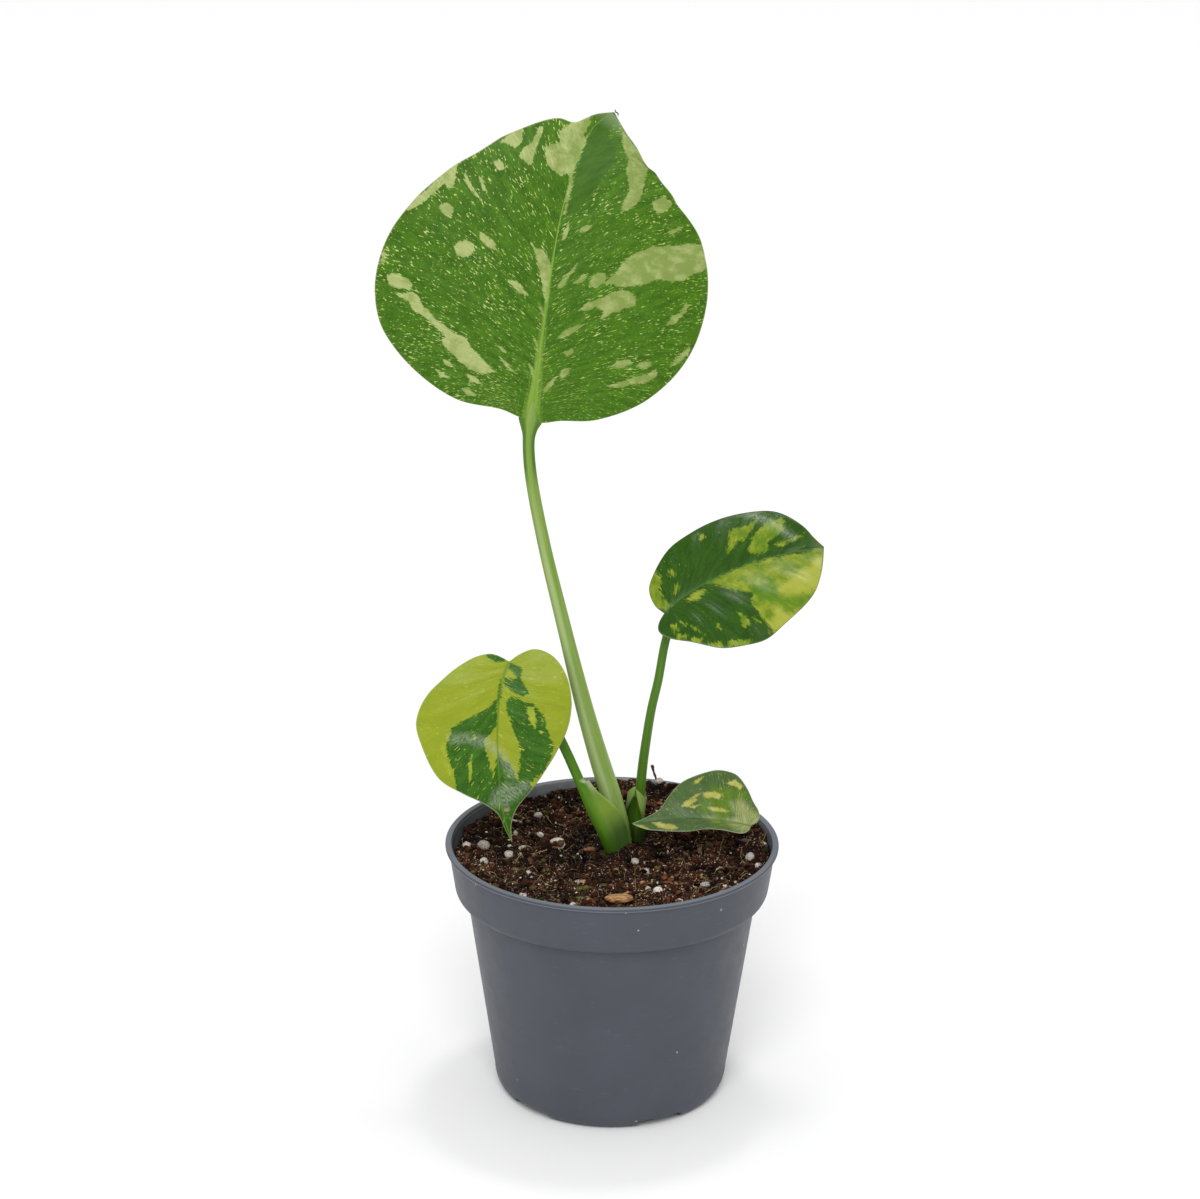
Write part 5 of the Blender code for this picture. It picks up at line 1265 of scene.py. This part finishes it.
# Each stalk is a juicy round stem. Near its foot it opens into a sheath with two thin wings that clasped
# the next younger stalk as it grew, and its upper end swells a little where it meets the blade. "inward"
# is the way that a sheath opens. Each station along the route has its share of the way, the half
# thickness of the middle and of the wings, the reach of the front and of the back wing, how sharply the
# section is bent, in radians a metre, and how much the wings are tilted up.
STALK_FOOT = 0.0880
STALK_SUNK = 0.0015
STALKS = {
    "tall_petiole": {
        "route": ((0.0041, 0.008, STALK_FOOT), (0.0037, 0.008, 0.091), (0.0021, 0.0085, 0.099),
                  (-0.0005, 0.009, 0.1087), (-0.004, 0.010, 0.1196), (-0.010, 0.011, 0.1408),
                  (-0.0177, 0.013, 0.172), (-0.025, 0.0155, 0.2027), (-0.0295, 0.017, 0.227),
                  (-0.0303, 0.0175, 0.238)),
        "inward": (0.0, 1.0), "blade": "tall_leaf",
        "stations": ((0.00, 0.0029, 0.0029, 0.0034, 0.0034, 1, 0),
                     (0.056, 0.0031, 0.0031, 0.0038, 0.0038, 1, 0),
                     (0.186, 0.0031, 0.0031, 0.0036, 0.0036, 1, 0),
                     (0.354, 0.0027, 0.0027, 0.0030, 0.0030, 1, 0),
                     (0.466, 0.0025, 0.0025, 0.0026, 0.0026, 1, 0),
                     (0.652, 0.0022, 0.0022, 0.0023, 0.0023, 1, 0),
                     (0.880, 0.0019, 0.0019, 0.0021, 0.0021, 1, 0),
                     (0.897, 0.0019, 0.0016, 0.0022, 0.0022, 1, 0),
                     (0.912, 0.0019, 0.0008, 0.0027, 0.0030, 1, 0),
                     (0.924, 0.0019, 0.0005, 0.0038, 0.0040, 1, 0),
                     (0.933, 0.0018, 0.0004, 0.0046, 0.0046, 1, 0),
                     (0.950, 0.0016, 0.0003, 0.0036, 0.0036, 1, 0),
                     (0.970, 0.0013, 0.0003, 0.0022, 0.0022, 1, 0),
                     (1.000, 0.0007, 0.0003, 0.0008, 0.0008, 1, 0)),
        "foot": "5a7a2a", "skin": ("6c8f33", "87a04f"), "wing": "9db56c",
    },
    "left_petiole": {
        "route": ((0.0002, 0.0022, STALK_FOOT), (-0.0028, 0.003, 0.096), (-0.0069, 0.0045, 0.1043),
                  (-0.0116, 0.0065, 0.1144), (-0.0161, 0.008, 0.1246), (-0.0249, 0.0105, 0.1426),
                  (-0.0315, 0.0125, 0.1535)),
        "inward": (0.72, 0.69), "blade": "left_leaf",
        "stations": ((0.00, 0.0020, 0.0004, 0.0072, 0.0030, 170, 0),
                     (0.09, 0.0022, 0.0004, 0.0094, 0.0038, 172, 0),
                     (0.16, 0.0022, 0.0003, 0.0094, 0.0034, 168, 0),
                     (0.22, 0.0022, 0.0003, 0.0078, 0.0028, 130, 0),
                     (0.26, 0.0021, 0.0003, 0.0062, 0.0024, 90, 0.2),
                     (0.29, 0.0020, 0.0003, 0.0055, 0.0021, 45, 0.5),
                     (0.334, 0.0019, 0.0003, 0.0047, 0.0019, 25, 0.8),
                     (0.344, 0.0018, 0.0012, 0.0024, 0.0018, 10, 0),
                     (0.360, 0.0018, 0.0018, 0.0018, 0.0018, 1, 0),
                     (1.00, 0.0016, 0.0016, 0.0016, 0.0016, 1, 0)),
        "foot": "2c4a10", "skin": ("42700f", "5b8a1d"), "wing": "76943a", "patch": "7b9a2c",
    },
    "right_petiole": {
        "route": ((0.0090, 0.0145, STALK_FOOT), (0.0092, 0.014, 0.097), (0.0099, 0.0125, 0.106),
                  (0.0109, 0.011, 0.1195), (0.0121, 0.0105, 0.1298), (0.0138, 0.0105, 0.1415),
                  (0.0162, 0.0105, 0.1532), (0.018, 0.0108, 0.1648)),
        "inward": (-0.38, -0.92), "blade": "right_leaf",
        "stations": ((0.00, 0.0017, 0.0003, 0.0052, 0.0040, 290, 0.6),
                     (0.05, 0.0018, 0.0003, 0.0078, 0.0052, 285, 1.0),
                     (0.09, 0.0018, 0.0003, 0.0090, 0.0064, 290, 1.25),
                     (0.13, 0.0018, 0.0003, 0.0099, 0.0080, 300, 1.25),
                     (0.165, 0.0018, 0.0003, 0.0103, 0.0092, 312, 1.25),
                     (0.192, 0.0018, 0.0003, 0.0104, 0.0096, 316, 1.25),
                     (0.202, 0.0018, 0.0012, 0.0022, 0.0022, 300, 1.0),
                     (0.22, 0.0018, 0.0018, 0.0018, 0.0018, 80, 0),
                     (0.24, 0.0018, 0.0018, 0.0018, 0.0018, 1, 0),
                     (0.55, 0.0016, 0.0016, 0.0016, 0.0016, 1, 0),
                     (1.00, 0.0015, 0.0015, 0.0015, 0.0015, 1, 0)),
        "foot": "24390f", "skin": ("416816", "55801f"), "wing": "84a052",
    },
    "low_petiole": {
        "route": ((0.0096, 0.0195, STALK_FOOT), (0.0100, 0.0198, 0.0895), (0.0147, 0.0202, 0.0923),
                  (0.0212, 0.0195, 0.0946), (0.0320, 0.0160, 0.0972), (0.0427, 0.0105, 0.0972)),
        "inward": (0.0, 1.0), "blade": "low_leaf",
        "stations": ((0.00, 0.0015, 0.0015, 0.0015, 0.0015, 1, 0),
                     (1.00, 0.0012, 0.0012, 0.0012, 0.0012, 1, 0)),
        "foot": "2a4513", "skin": ("416a18", "527d22"), "wing": "416a18",
    },
}
STALK_RINGS = 230
STALK_SIDES = 60
SKIN_RADIUS = 2.5
TILT_START = 0.003
WING_START = 0.0020
WING_FADE = 0.0022


def stalk_end(leaf_name):
    """How a stalk runs into its blade. The tall one carries on along the midrib and sinks away behind it,
    and the others meet the rib from below, near the blade's base."""
    leaf = LEAVES[leaf_name]
    if leaf_name == "tall_leaf":
        along = np.array([-0.0035, 0.0, 0.004, 0.008, 0.012])
        point, normal = blade_surface(leaf, along, 0 * along)
        return point - np.array([0.0, 0.0, 0.0005, 0.0010, 0.0014])[:, None] * normal
    point, normal = blade_surface(leaf, 0.0028, 0.0)
    return np.array([point - 0.0035 * normal, point])


def make_stalk(name, stalk):
    """An oval section carried along the route. Its middle line is an arc, so that a wide section wraps
    round like a sheath, and its thickness falls off from the middle to the wings. Where it is tilted, its
    wings rise towards their ends, so that the sheath closes in a point there."""
    route = list(stalk["route"]) + stalk_end(stalk["blade"]).tolist()
    path = smooth_path(route)
    lengths = length_along(path)
    stations = np.array(stalk["stations"])
    fraction = np.linspace(0.0, 1.0, STALK_RINGS) ** 1.25
    centre = read_path(path, lengths, fraction * lengths[-1])
    tangent = unit(read_path(np.gradient(path, lengths, axis=0), lengths, fraction * lengths[-1]))
    inward = np.array([*stalk["inward"], 0.0])
    inward = unit(inward - (tangent @ inward)[:, None] * tangent)
    aside = np.cross(inward, tangent)
    even = np.linspace(0.0, 1.0, 801)
    window = np.hanning(21) / np.hanning(21).sum()
    drawn = (np.pad(np.interp(even, stations[:, 0], column), 10, mode="edge") for column in stations.T[1:])
    core, wing, front, back, bend, tilt = (
        np.interp(fraction, even, np.convolve(column, window, mode="valid"))[:, None] for column in drawn)
    turn = np.linspace(0, 2 * np.pi, STALK_SIDES, endpoint=False)[None]
    reach = np.cos(turn) * np.where(np.cos(turn) > 0, front, back)
    thick = np.sin(turn) * (wing + (core - wing) * np.exp(-(reach / (1.3 * core)) ** 2))
    thick = thick * (1.0 + 0.012 * np.sin(9 * turn) + 0.010 * np.sin(14 * turn + 2.0))
    angle = bend * reach
    sideways = np.sin(angle) / bend - thick * np.sin(angle)
    inwards = (1 - np.cos(angle)) / bend + thick * np.cos(angle)
    rings = (centre[:, None] + sideways[..., None] * aside[:, None] + inwards[..., None] * inward[:, None]
             + (tilt * np.maximum(np.abs(reach) - TILT_START, 0.0))[..., None] * tangent[:, None])
    rings = np.vstack([rings[:1] - (0.0, 0.0, STALK_SUNK), rings])
    number = np.arange(len(rings) * STALK_SIDES).reshape(len(rings), STALK_SIDES)
    faces = ring_faces(len(rings), STALK_SIDES)
    half = STALK_SIDES // 2
    for ring in (number[0], number[-1]):
        near, far = ring[:half + 1], ring[-np.arange(half + 1)]
        faces += [list(dict.fromkeys(face)) for face in
                  np.stack([near[:-1], near[1:], far[1:], far[:-1]], axis=-1).tolist()]
    travelled = np.r_[0.0, fraction * lengths[-1]][:, None] * METRE + 0 * turn
    round_about = turn * SKIN_RADIUS + 0 * travelled
    winged = ease((np.abs(np.vstack([reach[:1], reach])) - WING_START) / WING_FADE)
    sides = np.vstack([reach[:1], reach]) / np.vstack([front[:1], front])
    return new_piece(name, rings.reshape(-1, 3), faces,
                     {"height": travelled.ravel(), "winged": winged.ravel(), "side": sides.ravel(),
                      "out": (np.sin(turn) + 0 * travelled).ravel()},
                     {"skin": np.stack([round_about, travelled], axis=-1).reshape(-1, 2)}, sharp=75.0)


def stalk_material(name, stalk):
    """Smooth juicy stem skin: a green with fine lengthwise streaks, painted shade at the foot, and paler
    wings. The tall one has a waxy bloom with a painted highlight and a green margin at its top, and the
    left sheath a pale patch, flap and edge. Heights are in millimetres along the stalk, and sides run from
    -1 to 1 across it."""
    material, put, surface = new_material(name)
    skin = put("UVMap", uv_map="skin")
    drawn_out = put("Mapping", {"Vector": skin, "Scale": (1 / 0.7692, 1 / 28.57, 1.0)})
    streaks = put("TexNoise", {"Vector": drawn_out, "Scale": 1.0, "Detail": 4.0, "Roughness": 0.6})
    streaks = put("MapRange", (streaks, 0.32, 0.68))
    tone = put("Mix", (streaks, *stalk["skin"]), data_type="RGBA")
    side = put("Attribute", out="Fac", attribute_name="side")
    height = put("Attribute", out="Fac", attribute_name="height")
    if name.startswith("tall"):
        # A waxy bloom with a painted highlight lies along one side and fades out before the top.
        off = put("Math", (side, 0.25), operation="ADD")
        off = put("Math", (off,), operation="ABSOLUTE")
        bloom_and_highlight = put("MapRange", (off, 0.10, 0.62, 0.75, 0.0), interpolation_type="SMOOTHSTEP")
        below = put("MapRange", (height, 110.0, 145.0, 1.0, 0.0))
        bloom_and_highlight = put("Math", (bloom_and_highlight, below), operation="MULTIPLY")
        tone = put("Mix", (bloom_and_highlight, tone, "a4b57c"), data_type="RGBA")

    # The wings are paler, most of all on their outside.
    out = put("Attribute", out="Fac", attribute_name="out")
    outer = put("MapRange", (out, -0.25, 0.25, 1.0, 0.25))
    winged = put("Attribute", out="Fac", attribute_name="winged")
    winged = put("Math", (winged, outer), operation="MULTIPLY")
    tone = put("Mix", (winged, tone, stalk["wing"]), data_type="RGBA")
    if name.startswith("tall"):
        # The flattened top behind the blade has green margins.
        both_sides = put("Math", (side,), operation="ABSOLUTE")
        margin = put("MapRange", (both_sides, 0.30, 0.60))
        top = put("MapRange", (height, 139.0, 147.0))
        margin = put("Math", (margin, top), operation="MULTIPLY")
        tone = put("Mix", (margin, tone, "49741b"), data_type="RGBA")
    if "patch" in stalk:
        # The left sheath has a yellow-green patch above its foot, a pale flap higher up and a thin edge.
        low_patch = put("MapRange", (height, 7.0, 15.0, 0.0, 1.0))
        high_patch = put("MapRange", (height, 17.0, 24.0, 1.0, 0.0))
        middle = put("MapRange", (side, 0.05, 0.5, 0.0, 0.65))
        patch = put("Math", (low_patch, high_patch), operation="MULTIPLY")
        patch = put("Math", (patch, middle), operation="MULTIPLY")
        tone = put("Mix", (patch, tone, stalk["patch"]), data_type="RGBA")
        flap = put("MapRange", (height, 22.5, 27.0, 0.0, 0.8))
        flap_end = put("MapRange", (height, 29.5, 31.0, 1.0, 0.0))
        flap = put("Math", (flap, flap_end), operation="MULTIPLY")
        flap_side = put("MapRange", (side, 0.60, 0.85))
        flap = put("Math", (flap, flap_side), operation="MULTIPLY")
        tone = put("Mix", (flap, tone, "b4bf98"), data_type="RGBA")
        thin_edge = put("MapRange", (side, 0.93, 0.98, 0.0, 0.6))
        thin_edge = put("Math", (thin_edge, low_patch), operation="MULTIPLY")
        thin_edge = put("Math", (thin_edge, flap_end), operation="MULTIPLY")
        tone = put("Mix", (thin_edge, tone, "a9b866"), data_type="RGBA")

    # Painted shade darkens the foot, most of all on the side that another stalk clasps.
    clasped_shade = put("MapRange", (height, 8.0, 17.0, 0.90, 0.0))
    clasping = put("MapRange", (side, 0.15, 0.50))
    clasped_shade = put("Math", (clasped_shade, clasping), operation="MULTIPLY")
    tone = put("Mix", (clasped_shade, tone, stalk["foot"]), data_type="RGBA")
    low = put("MapRange", (height, 1.0, 14.0, 0.90, 0.0), interpolation_type="SMOOTHSTEP")
    tone = put("Mix", (low, tone, stalk["foot"]), data_type="RGBA")
    bump = put("Bump", {"Strength": 0.25, "Distance": 0.0002, "Height": streaks})
    feed(surface, {"Base Color": tone, "Roughness": 0.42, "Specular IOR Level": 0.22, "Normal": bump})
    return material


for stalk_name, stalk in STALKS.items():
    stem = make_stalk(stalk_name + "_stem", stalk)
    settle(stem, stalk_material(stalk_name + "_skin", stalk), stalk_name, stalk_name)


# The studio is a sheet of plain white paper under the plant and a white surround that lights it from all
# sides. The paper lies a hair under the pot, so that their faces don't meet.
FLOOR_HALF = 3.0
FLOOR_DROP = 0.0002
floor_mesh = bpy.data.meshes.new("studio_floor")
floor_corners = np.array([(-1, -1, 0), (1, -1, 0), (1, 1, 0), (-1, 1, 0)]) * FLOOR_HALF - (0, 0, FLOOR_DROP)
floor_mesh.from_pydata(floor_corners, [], [(0, 1, 2, 3)])
floor = bpy.data.objects.new("studio_floor", floor_mesh)
bpy.context.scene.collection.objects.link(floor)
floor_material, put, surface = new_material("white_paper_sweep")
feed(surface, {"Base Color": "fefefe", "Roughness": 0.9, "Specular IOR Level": 0.2})
floor_mesh.materials.append(floor_material)

world = bpy.data.worlds.new("white_studio")
world.use_nodes = True
feed(world.node_tree.nodes["Background"].inputs, {"Color": "ffffff", "Strength": 0.67})
bpy.context.scene.world = world


def stand(made, sideways, upwards, backwards, spot):
    """Puts a lamp or the camera into the scene at a spot, with its own three axes along these ways."""
    turn = np.eye(4)
    turn[:3] = np.stack([sideways, upwards, backwards, spot], axis=-1)
    made.matrix_world = Matrix(turn.tolist())
    bpy.context.scene.collection.objects.link(made)


def lamp(title, kind, spot, aim, power, size):
    """A soft lamp at a spot, turned to its aim. Its size is in metres, or in degrees where it is a sun."""
    data = bpy.data.lights.new(title, kind)
    data.energy = power
    if kind == "SUN":
        data.angle = np.radians(size)
    else:
        data.size = size
    backwards = unit(np.array(spot) - np.array(aim))
    sideways = unit(np.cross((0.0, 0.0, 1.0), backwards))
    stand(bpy.data.objects.new(title, data), sideways, np.cross(backwards, sideways), backwards, spot)


# A broad softbox stands high up in front of the plant, and a small one hangs over it from behind.
lamp("broad_softbox", "SUN", (-0.15, -1.8, 1.95), (0.0, 0.0, 0.15), 1.50, 30.0)
lamp("high_softbox", "AREA", (0.115, 0.31, 1.5), (0.047, 0.012, 0.187), 2.8, 0.17)

# The camera stands a good metre in front, looks down on the plant, and has a long lens.
camera_data = bpy.data.cameras.new("camera")
camera_data.lens = CAMERA_LENS
camera_data.sensor_width = CAMERA_SENSOR
camera = bpy.data.objects.new("camera", camera_data)
place, right, up, ahead = camera_axes()
stand(camera, right, up, -ahead, place)
bpy.context.scene.camera = camera
bpy.context.scene.view_settings.view_transform = "Standard"
